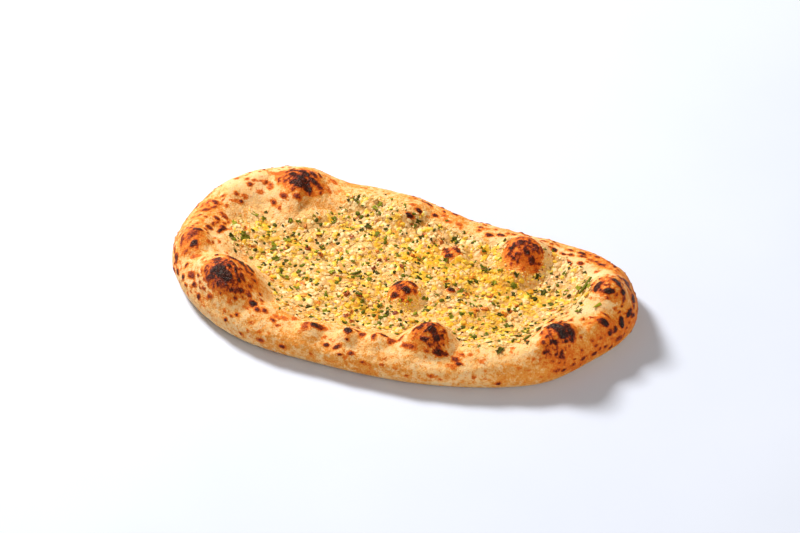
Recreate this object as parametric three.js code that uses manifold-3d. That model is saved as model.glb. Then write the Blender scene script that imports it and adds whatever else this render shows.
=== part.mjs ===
// A garlic naan: one long kidney-shaped flatbread of leavened dough, with a puffed rim, baked blisters and
// a lower middle that is spread with minced garlic and chopped coriander.
// Millimetres, +Z up. The bread lies on z = 0, its length runs along X, and the origin is under its middle.
import * as THREE from "three";
import { mergeVertices } from "three/addons/utils/BufferGeometryUtils.js";
import Module from "manifold-3d";

// The bread as a whole.
const HALF_LENGTH = 157;
const HALF_WIDTH = 87;
const MIDDLE_HEIGHT = 12; // top of the spread middle
const EDGE_HEIGHT = 11.5; // where the rim reaches furthest out
const RIM_RADIUS = 17; // from the edge in to the rim's crest
const RIM_FALL = 2.6; // how far the rim's inner slope runs for each millimetre it drops
const FOOT_TUCK = 9; // how far the underside draws in below the edge
const SKIN_START = 10; // blisters and ripples reach their full height this far in from the edge

// The edge seen from above, anticlockwise from the right end: share of the half length, share of the half
// width, and the height of the rim's crest there.
const EDGE = [
  [1, 0.1, 29],
  [0.93, 0.47, 29],
  [0.78, 0.68, 25],
  [0.57, 0.77, 22],
  [0.19, 0.83, 18],
  [-0.12, 0.95, 21],
  [-0.41, 0.97, 19.5],
  [-0.64, 0.97, 26.5],
  [-0.91, 0.65, 26],
  [-1, -0.01, 27],
  [-0.89, -0.53, 27],
  [-0.58, -0.91, 24],
  [-0.17, -1, 21],
  [0.28, -0.96, 21],
  [0.69, -0.72, 25],
  [0.88, -0.35, 27],
];

// Blisters: share of the half length, share of the half width, radius and height.
const BLISTERS = [
  [-0.56, 0.55, 27, 8.5],
  [-0.64, -0.55, 30, 16],
  [-0.9, -0.26, 17, 5],
  [-0.69, 0.04, 16, 3],
  [0.45, 0.43, 22, 12],
  [0.05, -0.16, 15, 9.5],
  [0.17, 0.41, 11, 5],
  [-0.07, 0.72, 12, 4],
  [0.24, -0.63, 21, 16],
  [0.76, -0.45, 21, 11],
  [0.88, 0.14, 20, 8],
  [0.9, -0.19, 11, 4],
  [-0.24, -0.86, 10, 4],
  [-0.08, -0.83, 9, 4],
  [0.05, -0.81, 9, 3],
  [0.22, -0.01, 5, 2.5],
  [-0.15, -0.28, 6, 2],
];
const BLISTER_ROUNDNESS = 1.35;

// Crossed pairs of waves that make the skin gently uneven. A wave is its turn for each millimetre along X and
// along Y, in radians, and its start.
const RIPPLES = [
  { height: 1.1, waves: [[0.061, 0, 1], [0, 0.083, 0.9]] },
  { height: 0.66, waves: [[0.131, 0.047, 2.1], [-0.053, 0.119, 0.3]] },
  { height: 0.44, waves: [[0.217, -0.13, 0.7], [0.09, 0.241, 1.9]] },
];

// The mesh of the bread.
const RAYS = 112; // round the edge, an even number
const SPINE_SHARE = 0.51; // half the spine's length, as a share of the half length
const FOOT_STEPS = 3;
const RIM_STEPS = 5;
const MIDDLE_STEPS = 17;
const EDGE_SAMPLES = 480;
const MERGE_WITHIN = 1e-4;

// The spread on the middle: an oval over which its largest pieces are evenly scattered.
const SPREAD = { x: 8, y: -2, halfLength: 112, halfWidth: 52, jitter: 6 };
const GOLDEN_ANGLE = Math.PI * (3 - Math.sqrt(5));

// Chopped coriander leaves. A radius lies between two limits, the notches between the lobes are cut to a
// share of it, and a leaf is narrower than it is long.
const LEAVES = {
  count: 36,
  turn: 0.35,
  radius: [3.8, 5.4],
  lobes: 4,
  notch: 0.55,
  narrow: 0.72,
  thickness: 0.9,
  wave: 0.5,
  lift: 0.2,
};

// Garlic crumbs, with the shares of their length that are their width and their height.
const CRUMBS = { count: 46, turn: 0.85, radius: [1.9, 3], width: [0.75, 1], height: 0.7, lift: 0.25 };

const SLOPE_STEP = 2; // the skin's slope under a piece is taken over this far each way

const wasm = await Module();
wasm.setup();

const edgeCurve = new THREE.CatmullRomCurve3(
  EDGE.map(([x, y, crest]) => new THREE.Vector3(x * HALF_LENGTH, y * HALF_WIDTH, crest)),
  true,
  "catmullrom",
  0.5,
);
const edgeSamples = Array.from({ length: EDGE_SAMPLES }, (_, i) => edgeCurve.getPoint(i / EDGE_SAMPLES));

const smooth = (t) => THREE.MathUtils.smoothstep(t, 0, 1);

// A repeatable draw between two limits: the fraction of a large, quickly turning number.
function draw(piece, kind, low = 0, high = 1) {
  const large = Math.sin(piece * 12.9898 + kind * 78.233) * 43758.5453;
  return low + (high - low) * (large - Math.floor(large));
}

// The distance in from the edge and the crest's height at the nearest stretch of rim.
function fromEdge(x, y) {
  let nearest = { distance: Infinity, crest: 0 };
  edgeSamples.forEach((a, i) => {
    const b = edgeSamples[(i + 1) % EDGE_SAMPLES];
    const along = ((x - a.x) * (b.x - a.x) + (y - a.y) * (b.y - a.y)) / ((b.x - a.x) ** 2 + (b.y - a.y) ** 2);
    const t = THREE.MathUtils.clamp(along, 0, 1);
    const distance = Math.hypot(x - a.x - t * (b.x - a.x), y - a.y - t * (b.y - a.y));
    if (distance < nearest.distance) nearest = { distance, crest: a.z + t * (b.z - a.z) };
  });
  return nearest;
}

function rippleHeight(x, y) {
  const turnOf = ([alongX, alongY, start]) => Math.sin(alongX * x + alongY * y + start);
  return RIPPLES.reduce((sum, { height, waves }) => sum + height * turnOf(waves[0]) * turnOf(waves[1]), 0);
}

function blisterHeight(x, y) {
  return BLISTERS.reduce((sum, [shareX, shareY, radius, height]) => {
    const away = Math.hypot(x - shareX * HALF_LENGTH, y - shareY * HALF_WIDTH) / radius;
    return away < 1 ? sum + height * (1 - away * away) ** BLISTER_ROUNDNESS : sum;
  }, 0);
}

// The height of the upper skin over a point.
function topHeight(x, y) {
  const { distance, crest } = fromEdge(x, y);
  const toCrest = 1 - Math.min(distance / RIM_RADIUS, 1);
  const round = EDGE_HEIGHT + (crest - EDGE_HEIGHT) * Math.sqrt(1 - toCrest * toCrest);
  const fall = smooth((distance - RIM_RADIUS) / (RIM_FALL * (crest - MIDDLE_HEIGHT)));
  const rim = distance < RIM_RADIUS ? round : crest + (MIDDLE_HEIGHT - crest) * fall;
  return rim + smooth(distance / SKIN_START) * (blisterHeight(x, y) + rippleHeight(x, y));
}

// The bread's skin, as rings of points. Each ray runs from the edge in to a spine that its opposite shares.
function breadGeometry() {
  const edge = Array.from({ length: RAYS }, (_, k) => edgeCurve.getPoint(k / RAYS));
  const spine = edge.map((p, k) => (SPINE_SHARE * (p.x + edge[(RAYS - k) % RAYS].x)) / 2);
  const positions = [];
  const addPoint = (x, y, z) => positions.push([x, y, z]) - 1;
  const ringAt = (distanceOf, height) =>
    edge.map((p, k) => {
      const ray = new THREE.Vector2(spine[k] - p.x, -p.y);
      ray.setLength(distanceOf(ray.length())).add(p);
      return addPoint(ray.x, ray.y, height ?? topHeight(ray.x, ray.y));
    });
  const rings = [];
  for (let i = 0; i < FOOT_STEPS; i++) {
    const angle = (Math.PI / 2) * (1 - i / FOOT_STEPS);
    rings.push(ringAt(() => FOOT_TUCK * (1 - Math.cos(angle)), EDGE_HEIGHT * (1 - Math.sin(angle))));
  }
  for (let i = 0; i < RIM_STEPS; i++) {
    const angle = ((Math.PI / 2) * i) / RIM_STEPS;
    rings.push(ringAt(() => RIM_RADIUS * (1 - Math.cos(angle))));
  }
  for (let i = 0; i < MIDDLE_STEPS; i++)
    rings.push(ringAt((length) => RIM_RADIUS + ((length - RIM_RADIUS) * i) / MIDDLE_STEPS));
  const onSpine = spine.slice(0, RAYS / 2 + 1).map((x) => addPoint(x, 0, topHeight(x, 0)));
  rings.push(spine.map((_, k) => onSpine[Math.min(k, RAYS - k)]));

  const triangles = [];
  const add = (a, b, c) => {
    if (a !== b && b !== c && c !== a) triangles.push(a, b, c);
  };
  const gap = (a, b) => Math.hypot(...positions[a].map((v, axis) => v - positions[b][axis]));
  rings.slice(1).forEach((inner, r) => {
    const outer = rings[r];
    outer.forEach((a, k) => {
      const next = (k + 1) % RAYS;
      const [b, c, d] = [outer[next], inner[next], inner[k]];
      const halves = gap(a, c) < gap(b, d) ? [a, b, c, a, c, d] : [a, b, d, b, c, d];
      add(...halves.slice(0, 3));
      add(...halves.slice(3));
    });
  });
  const under = addPoint(0, 0, 0);
  rings[0].forEach((a, k) => add(under, rings[0][(k + 1) % RAYS], a));
  return geometryOf(positions.flat(), triangles);
}

// A chopped coriander leaf: a thin, wavy, lobed sheet, both faces split into triangles alike.
function leafGeometry(i) {
  const { lobes, notch, narrow, thickness, wave } = LEAVES;
  const radius = draw(i, 1, ...LEAVES.radius);
  const corners = 2 * lobes;
  const rim = Array.from({ length: corners }, (_, c) => {
    const angle = (2 * Math.PI * c) / corners;
    const reach = radius * (c % 2 ? notch : draw(i * corners + c, 2, notch, 1));
    return [reach * Math.cos(angle), narrow * reach * Math.sin(angle), wave * Math.sin(2 * angle + i)];
  });
  const face = (lift) => [...rim, [0, 0, wave]].map(([x, y, z]) => [x, y, z + lift]);
  const positions = [...face(thickness / 2), ...face(-thickness / 2)];
  const [middle, below] = [corners, corners + 1];
  const triangles = rim.flatMap((_, c) => {
    const next = (c + 1) % corners;
    return [
      [middle, c, next],
      [middle + below, next + below, c + below],
      [c, c + below, next + below],
      [c, next + below, next],
    ].flat();
  });
  return geometryOf(positions.flat(), triangles);
}

function crumbGeometry(i) {
  const radius = draw(i, 3, ...CRUMBS.radius);
  return new THREE.IcosahedronGeometry(radius, 0).scale(1, draw(i, 4, ...CRUMBS.width), CRUMBS.height);
}

// Lays piece i of count on the skin, turned to the slope there. The pieces are evenly scattered outwards from
// the middle of the spread, and then shifted a little.
function laidOn(geometry, i, { count, turn, lift }) {
  const reach = Math.sqrt((i + 0.5) / count);
  const angle = (i + turn) * GOLDEN_ANGLE;
  const shift = (kind) => draw(i, kind, -SPREAD.jitter / 2, SPREAD.jitter / 2);
  const x = SPREAD.x + SPREAD.halfLength * reach * Math.cos(angle) + shift(5);
  const y = SPREAD.y + SPREAD.halfWidth * reach * Math.sin(angle) + shift(6);
  const rise = (stepX, stepY) => topHeight(x + stepX, y + stepY) - topHeight(x - stepX, y - stepY);
  const up = new THREE.Vector3(-rise(SLOPE_STEP, 0), -rise(0, SLOPE_STEP), 2 * SLOPE_STEP).normalize();
  const tilt = new THREE.Quaternion().setFromUnitVectors(new THREE.Vector3(0, 0, 1), up);
  const heading = draw(i, 7, 0, 2 * Math.PI);
  return geometry.rotateZ(heading).applyQuaternion(tilt).translate(x, y, topHeight(x, y) + lift);
}

function geometryOf(positions, triangles) {
  return new THREE.BufferGeometry()
    .setAttribute("position", new THREE.Float32BufferAttribute(positions, 3))
    .setIndex(triangles);
}

function solidOf(geometry) {
  const bare = geometry.clone();
  bare.deleteAttribute("normal");
  bare.deleteAttribute("uv");
  const merged = mergeVertices(bare, MERGE_WITHIN);
  return new wasm.Manifold(
    new wasm.Mesh({
      numProp: 3,
      vertProperties: merged.attributes.position.array,
      triVerts: new Uint32Array(merged.index.array),
    }),
  );
}

// The bread with the larger pieces of the spread fused to it. Only the shell with the most volume is kept:
// that fills what fusing seals, and drops loose scraps.
function garlicNaan() {
  const leaves = Array.from({ length: LEAVES.count }, (_, i) => laidOn(leafGeometry(i), i, LEAVES));
  const crumbs = Array.from({ length: CRUMBS.count }, (_, i) => laidOn(crumbGeometry(i), i, CRUMBS));
  const bread = solidOf(breadGeometry());
  const fused = [...leaves, ...crumbs].reduce((whole, piece) => whole.add(solidOf(piece)), bread);
  const shell = fused.decompose().reduce((a, b) => (a.volume() > b.volume() ? a : b));
  const { vertProperties, triVerts } = shell.getMesh();
  const geometry = geometryOf(Array.from(vertProperties), Array.from(triVerts));
  geometry.computeBoundingBox();
  const { min, max } = geometry.boundingBox;
  return geometry.translate(-(min.x + max.x) / 2, -(min.y + max.y) / 2, -min.z);
}

const bakedDough = new THREE.MeshStandardMaterial({ color: 0xe9bd82, roughness: 0.62, metalness: 0 });

const part = new THREE.Group();
const naan = new THREE.Mesh(garlicNaan(), bakedDough);
naan.name = "naan";
part.add(naan);

export default part;
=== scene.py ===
# %% [markdown]
# # A garlic naan
#
# This lesson dresses a packed model of a large garlic naan. The model holds the bread's true form with few
# triangles. Here the same form is made again with a fine skin, and the spread of garlic, butter and
# coriander is laid on it piece by piece. Blender works in metres, but bread is easier to think of in
# millimetres, so the shapes below are worked out in millimetres and scaled once, when a mesh is made.

# %% The packed model
import math

import bmesh
import bpy
import numpy as np
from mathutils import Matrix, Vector, bvhtree, kdtree, noise


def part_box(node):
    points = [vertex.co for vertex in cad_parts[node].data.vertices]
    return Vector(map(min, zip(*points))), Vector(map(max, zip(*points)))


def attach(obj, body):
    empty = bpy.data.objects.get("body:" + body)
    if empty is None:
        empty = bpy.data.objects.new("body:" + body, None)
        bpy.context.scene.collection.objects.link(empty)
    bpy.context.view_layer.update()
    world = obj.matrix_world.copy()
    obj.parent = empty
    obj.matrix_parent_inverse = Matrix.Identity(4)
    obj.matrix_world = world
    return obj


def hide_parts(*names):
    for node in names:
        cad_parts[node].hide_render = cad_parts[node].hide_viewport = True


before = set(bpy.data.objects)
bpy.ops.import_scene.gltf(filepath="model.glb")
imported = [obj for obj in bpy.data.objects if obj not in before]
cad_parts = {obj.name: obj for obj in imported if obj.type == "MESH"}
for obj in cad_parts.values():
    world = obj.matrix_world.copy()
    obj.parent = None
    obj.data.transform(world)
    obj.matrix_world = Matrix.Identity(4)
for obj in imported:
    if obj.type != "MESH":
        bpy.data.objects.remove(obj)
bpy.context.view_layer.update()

MM = 0.001
naan_low, naan_high = (np.array(corner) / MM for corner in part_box("naan"))
print("the packed naan measures, in mm:", (naan_high - naan_low).round(1))

# %% [markdown]
# ## The camera
#
# The camera comes first, so that every later step can be looked at from where the real bread was seen: from
# the front, a little to the right, and 41 degrees above the table, through a long lens. It could be turned
# by hand until the view fits. Here it is placed by where its line of sight meets the table, how far away it
# is, and its two angles, as a photographer would set a tripod, because each of these can be measured and
# changed alone.

# %% The camera
CAMERA_AIM = Vector((-9.4, 26.1, 0)) * MM
CAMERA_DISTANCE = 1.699
CAMERA_AZIMUTH = math.radians(18.6)
CAMERA_ELEVATION = math.radians(41.0)
SENSOR_WIDTH = 36
FOCAL_LENGTH = 113.9

towards_camera = Vector((
    math.sin(CAMERA_AZIMUTH) * math.cos(CAMERA_ELEVATION),
    -math.cos(CAMERA_AZIMUTH) * math.cos(CAMERA_ELEVATION),
    math.sin(CAMERA_ELEVATION),
))
camera_data = bpy.data.cameras.new("camera")
camera_data.sensor_width = SENSOR_WIDTH
camera_data.lens = FOCAL_LENGTH
camera = bpy.data.objects.new("camera", camera_data)
camera.location = CAMERA_AIM + towards_camera * CAMERA_DISTANCE
camera.rotation_euler = (math.pi / 2 - CAMERA_ELEVATION, 0, CAMERA_AZIMUTH)
bpy.context.scene.collection.objects.link(camera)
bpy.context.scene.camera = camera
print("camera at, in m:", [round(value, 3) for value in camera.location])

# %% [markdown]
# ## The form of the bread
#
# A naan is slapped onto the wall of a very hot oven. Its rim puffs up, gas under the skin blows blisters,
# and the middle, which is pressed down and spread with garlic, stays low. It could be sculpted by hand, but
# all of it can be said with a few lists: the edge as a closed curve that also carries the height of the
# rim, the blisters as round bumps, and three crossed pairs of waves for the gentle unevenness of the rest.
# These are the values that the solid was made from, so the fine skin has the same form.

# %% The form's sizes, in millimetres
HALF_LENGTH, HALF_WIDTH = 157, 87
# The heights of the middle and of the edge, where the bread is widest.
MIDDLE_HEIGHT, EDGE_HEIGHT = 12, 11.5
# From the edge in to the crest, the length of the slope behind it for each millimetre of its height, and how
# far the foot tucks in.
RIM_RADIUS, RIM_FALL, FOOT_TUCK = 17, 2.6, 9
# Blisters and ripples grow from nothing over this distance from the edge.
SKIN_START = 10
# The rings of the mesh run in towards a spine that is this share of the bread's length.
SPINE_SHARE = 0.51

# Share of the half length, share of the half width, and the height of the rim's crest there.
EDGE = [
    (1, 0.1, 29), (0.93, 0.47, 29), (0.78, 0.68, 25), (0.57, 0.77, 22), (0.19, 0.83, 18), (-0.12, 0.95, 21),
    (-0.41, 0.97, 19.5), (-0.64, 0.97, 26.5), (-0.91, 0.65, 26), (-1, -0.01, 27), (-0.89, -0.53, 27),
    (-0.58, -0.91, 24), (-0.17, -1, 21), (0.28, -0.96, 21), (0.69, -0.72, 25), (0.88, -0.35, 27),
]

# Share of the half length, share of the half width, radius and height.
BLISTERS = {
    "back left": (-0.56, 0.55, 27, 8.5),
    "front left": (-0.64, -0.55, 30, 16),
    "left end": (-0.9, -0.26, 17, 5),
    "left fold": (-0.69, 0.04, 16, 3),
    "back right": (0.45, 0.43, 22, 12),
    "middle": (0.05, -0.16, 15, 9.5),
    "middle back": (0.17, 0.41, 11, 5),
    "back edge": (-0.07, 0.72, 12, 4),
    "front middle": (0.24, -0.63, 21, 16),
    "front right": (0.76, -0.45, 21, 11),
    "right end": (0.88, 0.14, 20, 8),
    "right small": (0.9, -0.19, 11, 4),
    "front a": (-0.24, -0.86, 10, 4),
    "front b": (-0.08, -0.83, 9, 4),
    "front c": (0.05, -0.81, 9, 3),
    "middle small": (0.22, -0.01, 5, 2.5),
    "middle left": (-0.15, -0.28, 6, 2),
}
BLISTER_ROUNDNESS = 1.35

# Height, then the two crossed waves, each as its turn a millimetre along X and along Y and its start.
RIPPLES = [
    (1.1, (0.061, 0, 1), (0, 0.083, 0.9)),
    (0.66, (0.131, 0.047, 2.1), (-0.053, 0.119, 0.3)),
    (0.44, (0.217, -0.13, 0.7), (0.09, 0.241, 1.9)),
]
print("stretches of the edge:", len(EDGE), "and blisters:", len(BLISTERS))

# %% The edge as a closed curve
EDGE_SAMPLES = 1440


def closed_curve(points, count):
    """A smooth closed curve through the points, as that many samples."""
    points = np.array(points, float)
    place = np.arange(count) * len(points) / count
    start = np.floor(place).astype(int)
    share = (place - start)[:, None]
    before, here, after, last = (points[(start + step) % len(points)] for step in (-1, 0, 1, 2))
    square = 2 * before - 5 * here + 4 * after - last
    cube = 3 * (here - after) + last - before
    return here + share / 2 * (after - before + share * (square + share * cube))


def evenly(curve, count):
    """The same closed curve with its samples the same distance apart."""
    closed = np.vstack([curve, curve[:1]])
    length = np.append(0, np.cumsum(np.linalg.norm(np.diff(closed[:, :2], axis=0), axis=1)))
    wanted = np.arange(count) * length[-1] / count
    return np.stack([np.interp(wanted, length, column) for column in closed.T], axis=1)


edge_scale = (HALF_LENGTH, HALF_WIDTH, 1)
edge_curve = closed_curve(np.array(EDGE) * edge_scale, EDGE_SAMPLES)
edge_middle = (edge_curve[:, :2].min(0) + edge_curve[:, :2].max(0)) / 2
print("length of the edge, in mm:", round(np.linalg.norm(np.diff(edge_curve[:, :2], axis=0), axis=1).sum()))

# %% [markdown]
# The height of the skin over any point depends on how far in from the edge it is. The rim is a quarter of
# an ellipse up to its crest, and from there an S-shaped slope goes down to the middle. The slope is longer
# where the rim is higher, because dough can't stand steeply.

# %% The nearest stretch of the edge


def plan_tree(places, numbers):
    """A tree of numbered places seen from above, in which the nearest one is found fast."""
    tree = kdtree.KDTree(len(places))
    for (x, y), number in zip(places.tolist(), numbers):
        tree.insert((x, y, 0), int(number))
    tree.balance()
    return tree


def nearest(tree, x, y):
    """For each x and y, the number of the tree's nearest place."""
    return np.array([tree.find((*place, 0))[1] for place in zip(x.tolist(), y.tolist())])


edge_tree = plan_tree(edge_curve[:, :2], range(EDGE_SAMPLES))


def from_edge(x, y):
    """How far in from the edge each point is, and how high the rim's crest is at the nearest stretch."""
    sample = nearest(edge_tree, x, y)
    distance, crest = np.full(len(x), np.inf), np.zeros(len(x))
    for start in (sample - 1, sample):
        step = edge_curve[(start + 1) % EDGE_SAMPLES] - edge_curve[start]
        away = np.stack([x, y], axis=1) - edge_curve[start, :2]
        share = np.clip((away * step[:, :2]).sum(1) / (step[:, :2] ** 2).sum(1), 0, 1)
        apart = np.linalg.norm(away - share[:, None] * step[:, :2], axis=1)
        crest = np.where(apart < distance, edge_curve[start, 2] + share * step[:, 2], crest)
        distance = np.minimum(distance, apart)
    return distance, crest


print("from the middle to the edge, in mm:", from_edge(np.zeros(1), np.zeros(1))[0].round(1))

# %% The height of the skin


def smooth(share):
    """An S-shaped step from 0 to 1."""
    share = np.clip(share, 0, 1)
    return share * share * (3 - 2 * share)


def blister_centre(blister):
    share_x, share_y, *_ = BLISTERS[blister]
    return share_x * HALF_LENGTH, share_y * HALF_WIDTH


def blister_height(x, y):
    total = np.zeros_like(x)
    for blister, (_, _, radius, height) in BLISTERS.items():
        centre_x, centre_y = blister_centre(blister)
        away = np.hypot(x - centre_x, y - centre_y) / radius
        total += height * np.clip(1 - away ** 2, 0, None) ** BLISTER_ROUNDNESS
    return total


def ripple_height(x, y):
    def wave(turns):
        return np.sin(turns[0] * x + turns[1] * y + turns[2])

    return sum(height * wave(one) * wave(two) for height, one, two in RIPPLES)


def skin_height(x, y):
    distance, crest = from_edge(x, y)
    to_crest = 1 - np.minimum(distance / RIM_RADIUS, 1)
    outer = EDGE_HEIGHT + (crest - EDGE_HEIGHT) * np.sqrt(1 - to_crest ** 2)
    fall = smooth((distance - RIM_RADIUS) / (RIM_FALL * (crest - MIDDLE_HEIGHT)))
    rim = np.where(distance < RIM_RADIUS, outer, crest + (MIDDLE_HEIGHT - crest) * fall)
    return rim + smooth(distance / SKIN_START) * (blister_height(x, y) + ripple_height(x, y))


three_places = np.array([-0.85, 0, 0.85]) * HALF_LENGTH
print("height at the left, middle and right, in mm:", skin_height(three_places, np.zeros(3)).round(1))

# %% [markdown]
# ## The mesh of the bread
#
# A rectangle of even squares would cut the round edge into steps, and rings alone would crowd in the
# middle. So the two are joined: a patch of near-square cells covers the middle, stretched to the shape of
# the rim's crest, and its outermost points carry on as rings over the rim, round the foot and under the
# bread. The patch starts as a blend of its four sides and is then relaxed, each point moving to the middle
# of its neighbours. The underside is flat, so its rings make do with every fifth point.

# %% A patch of cells
RELAXING = 150


def edge_of_patch(columns, rows):
    """Even points along the bread's edge, the way in from each to the spine, and how far that is."""
    loop = np.roll(evenly(edge_curve, 2 * (columns + rows)), rows // 2, axis=0)[:, :2]
    inward = np.stack([SPINE_SHARE * loop[:, 0], np.zeros(len(loop))], axis=1) - loop
    length = np.linalg.norm(inward, axis=1, keepdims=True)
    return loop, inward / length, length


def patch(loop, columns, rows):
    """The cells inside a loop that starts at its lower right corner, as rows of points."""
    right = loop[:rows + 1]
    top = loop[rows:rows + columns + 1][::-1]
    left = loop[rows + columns:2 * rows + columns + 1][::-1]
    bottom = np.vstack([loop[2 * rows + columns:], loop[:1]])
    u = np.linspace(0, 1, columns + 1)[None, :, None]
    v = np.linspace(0, 1, rows + 1)[:, None, None]
    corners = (1 - u) * (1 - v) * bottom[0] + u * (1 - v) * bottom[-1]
    corners = corners + (1 - u) * v * top[0] + u * v * top[-1]
    points = (1 - v) * bottom + v * top + (1 - u) * left[:, None] + u * right[:, None] - corners
    for _ in range(RELAXING):
        around = points[1:-1, :-2] + points[1:-1, 2:] + points[:-2, 1:-1] + points[2:, 1:-1]
        points[1:-1, 1:-1] = around / 4
    return points


def patch_faces(columns, rows):
    """The corners of a patch's cells, and the points along its outline from the lower right corner."""
    index = np.arange((rows + 1) * (columns + 1)).reshape(rows + 1, columns + 1)
    quads = np.stack([index[:-1, :-1], index[:-1, 1:], index[1:, 1:], index[1:, :-1]], axis=-1)
    outline = np.concatenate([index[:-1, -1], index[-1, :0:-1], index[:0:-1, 0], index[0, :-1]])
    return quads.reshape(-1, 4), outline


def stitched(fine, coarse):
    """Triangles between two closed lines of points, the first with several for each of the second."""
    skip, after = len(fine) // len(coarse), np.roll(coarse, -1)
    start = np.arange(0, len(fine), skip)
    corners = [
        (fine[start + step], coarse if step < skip // 2 else after, np.roll(fine, -1)[start + step])
        for step in range(skip)
    ]
    corners.append((fine[start + skip // 2], coarse, after))
    return np.concatenate([np.stack(three, axis=-1) for three in corners])


print("cells of a patch of 3 by 2:", len(patch_faces(3, 2)[0]))

# %% The plan of the mesh
COLUMNS, ROWS = 300, 150
LOOP = 2 * (COLUMNS + ROWS)
RIM_RINGS, FOOT_RINGS, UNDER_RINGS = 27, 7, 14
UNDER_SKIP = 5

edge_loop, inward, ray_length = edge_of_patch(COLUMNS, ROWS)
cells = patch(edge_loop + inward * RIM_RADIUS, COLUMNS, ROWS)
print("cells over the middle:", COLUMNS * ROWS)

# %% The points and faces of the skin


def bread_points_and_faces():
    """Points in millimetres and faces, from the middle of the top outwards and down to the underside."""
    flat = cells.reshape(-1, 2)
    points = [np.column_stack([flat, skin_height(*flat.T)])]
    cell_quads, loop = patch_faces(COLUMNS, ROWS)
    quads, count = [cell_quads], len(flat)

    def ring_below(place, height, loop, count):
        points.append(np.column_stack([place, np.broadcast_to(height, len(place))]))
        ring = count + np.arange(len(place))
        quads.append(np.stack([loop, ring, np.roll(ring, -1), np.roll(loop, -1)], axis=-1))
        return ring, count + len(place)

    for angle in np.linspace(math.pi / 2, 0, RIM_RINGS + 1)[1:]:
        place = edge_loop + inward * RIM_RADIUS * (1 - math.cos(angle))
        loop, count = ring_below(place, skin_height(*place.T), loop, count)
    for angle in np.linspace(0, math.pi / 2, FOOT_RINGS + 1)[1:]:
        place = edge_loop + inward * FOOT_TUCK * (1 - math.cos(angle))
        loop, count = ring_below(place, EDGE_HEIGHT * (1 - math.sin(angle)), loop, count)

    few = np.arange(0, LOOP, UNDER_SKIP)
    outer = loop
    for ring_number in range(1, UNDER_RINGS):
        reach = FOOT_TUCK + (ray_length[few] - FOOT_TUCK) * ring_number / UNDER_RINGS
        points.append(np.column_stack([edge_loop[few] + inward[few] * reach, np.zeros(len(few))]))
        ring = count + np.arange(len(few))
        if ring_number == 1:
            triangles = [stitched(outer, ring)]
        else:
            quads.append(np.stack([outer, ring, np.roll(ring, -1), np.roll(outer, -1)], axis=-1))
        outer, count = ring, count + len(few)

    right_end = ROWS // 2 // UNDER_SKIP
    across = np.arange(len(few) // 2 + 1)
    far, near = outer[(right_end + across) % len(few)], outer[(right_end - across) % len(few)]
    quads.append(np.stack([far[1:-2], near[1:-2], near[2:-1], far[2:-1]], axis=-1))
    triangles.append(np.array([[far[0], near[1], far[1]], [far[-2], near[-2], far[-1]]]))
    faces = [*np.concatenate(quads).tolist(), *np.concatenate(triangles).tolist()]
    return np.concatenate(points), faces


bread_points, bread_faces = bread_points_and_faces()
bread_points[:, :2] -= edge_middle
print("the bread's skin:", len(bread_points), "points,", len(bread_faces), "faces")

# %% [markdown]
# ## A piece made from arrays
#
# Every piece of this object is worked out as an array of points and an array of faces. One helper turns
# them into a Blender mesh, in metres, with smooth shading. It also stores fields on the mesh, one number
# for each point, such as how scorched the bread is there, which the finishes read later. Each piece rides
# on the bread's body.

# %% A helper that makes a piece
BODY = "root"


def make_piece(name, slot, points, faces, fields):
    mesh = bpy.data.meshes.new(name)
    mesh.from_pydata((points * MM).tolist(), [], faces if isinstance(faces, list) else faces.tolist())
    mesh.polygons.foreach_set("use_smooth", np.ones(len(mesh.polygons), bool))
    for field, values in fields.items():
        numbers = mesh.attributes.new(field, "FLOAT", "POINT").data
        numbers.foreach_set("value", np.asarray(values, np.float32))
    piece = bpy.data.objects.new(name, mesh)
    bpy.context.scene.collection.objects.link(piece)
    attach(piece, BODY)
    print(name, "has", sum(len(face.vertices) - 2 for face in mesh.polygons), "triangles")
    return piece


def normals_of(points, faces):
    mesh = bpy.data.meshes.new("for its normals")
    mesh.from_pydata(points.tolist(), [], faces)
    normals = np.empty(len(points) * 3, np.float32)
    mesh.vertex_normals.foreach_get("vector", normals)
    bpy.data.meshes.remove(mesh)
    return normals.reshape(-1, 3).astype(float)


bread_normals = normals_of(bread_points, bread_faces)
print("share of the skin that faces up:", round(float((bread_normals[:, 2] > 0).mean()), 2))

# %% [markdown]
# ## Noise over the skin
#
# Nothing on bread is even. Most of what follows is bent by noise: a smooth random number for every place in
# space, here about as far apart in its lumps as the width in millimetres that is asked for. Each seed gives
# another noise.

# %% Noise
SEED_STEP = 31.7


def lumps(points, width, seed):
    return np.array([noise.noise(place) for place in (points / width + seed * SEED_STEP).tolist()])


def draw(centre, seed):
    """A random number from 0 to 1 for the cell of noise around a centre."""
    return 0.5 + 0.5 * noise.cell(centre * seed)


def layered_lumps(points, layers):
    """The sum of several noises, each with its height, its width and its seed."""
    return sum(height * lumps(points, width, seed) for height, width, seed in layers)


one_place = np.array([[10.0, 20, 30]])
print("three noises at one place:", [lumps(one_place, 3, seed)[0].round(2) for seed in (1, 2, 3)])
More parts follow.
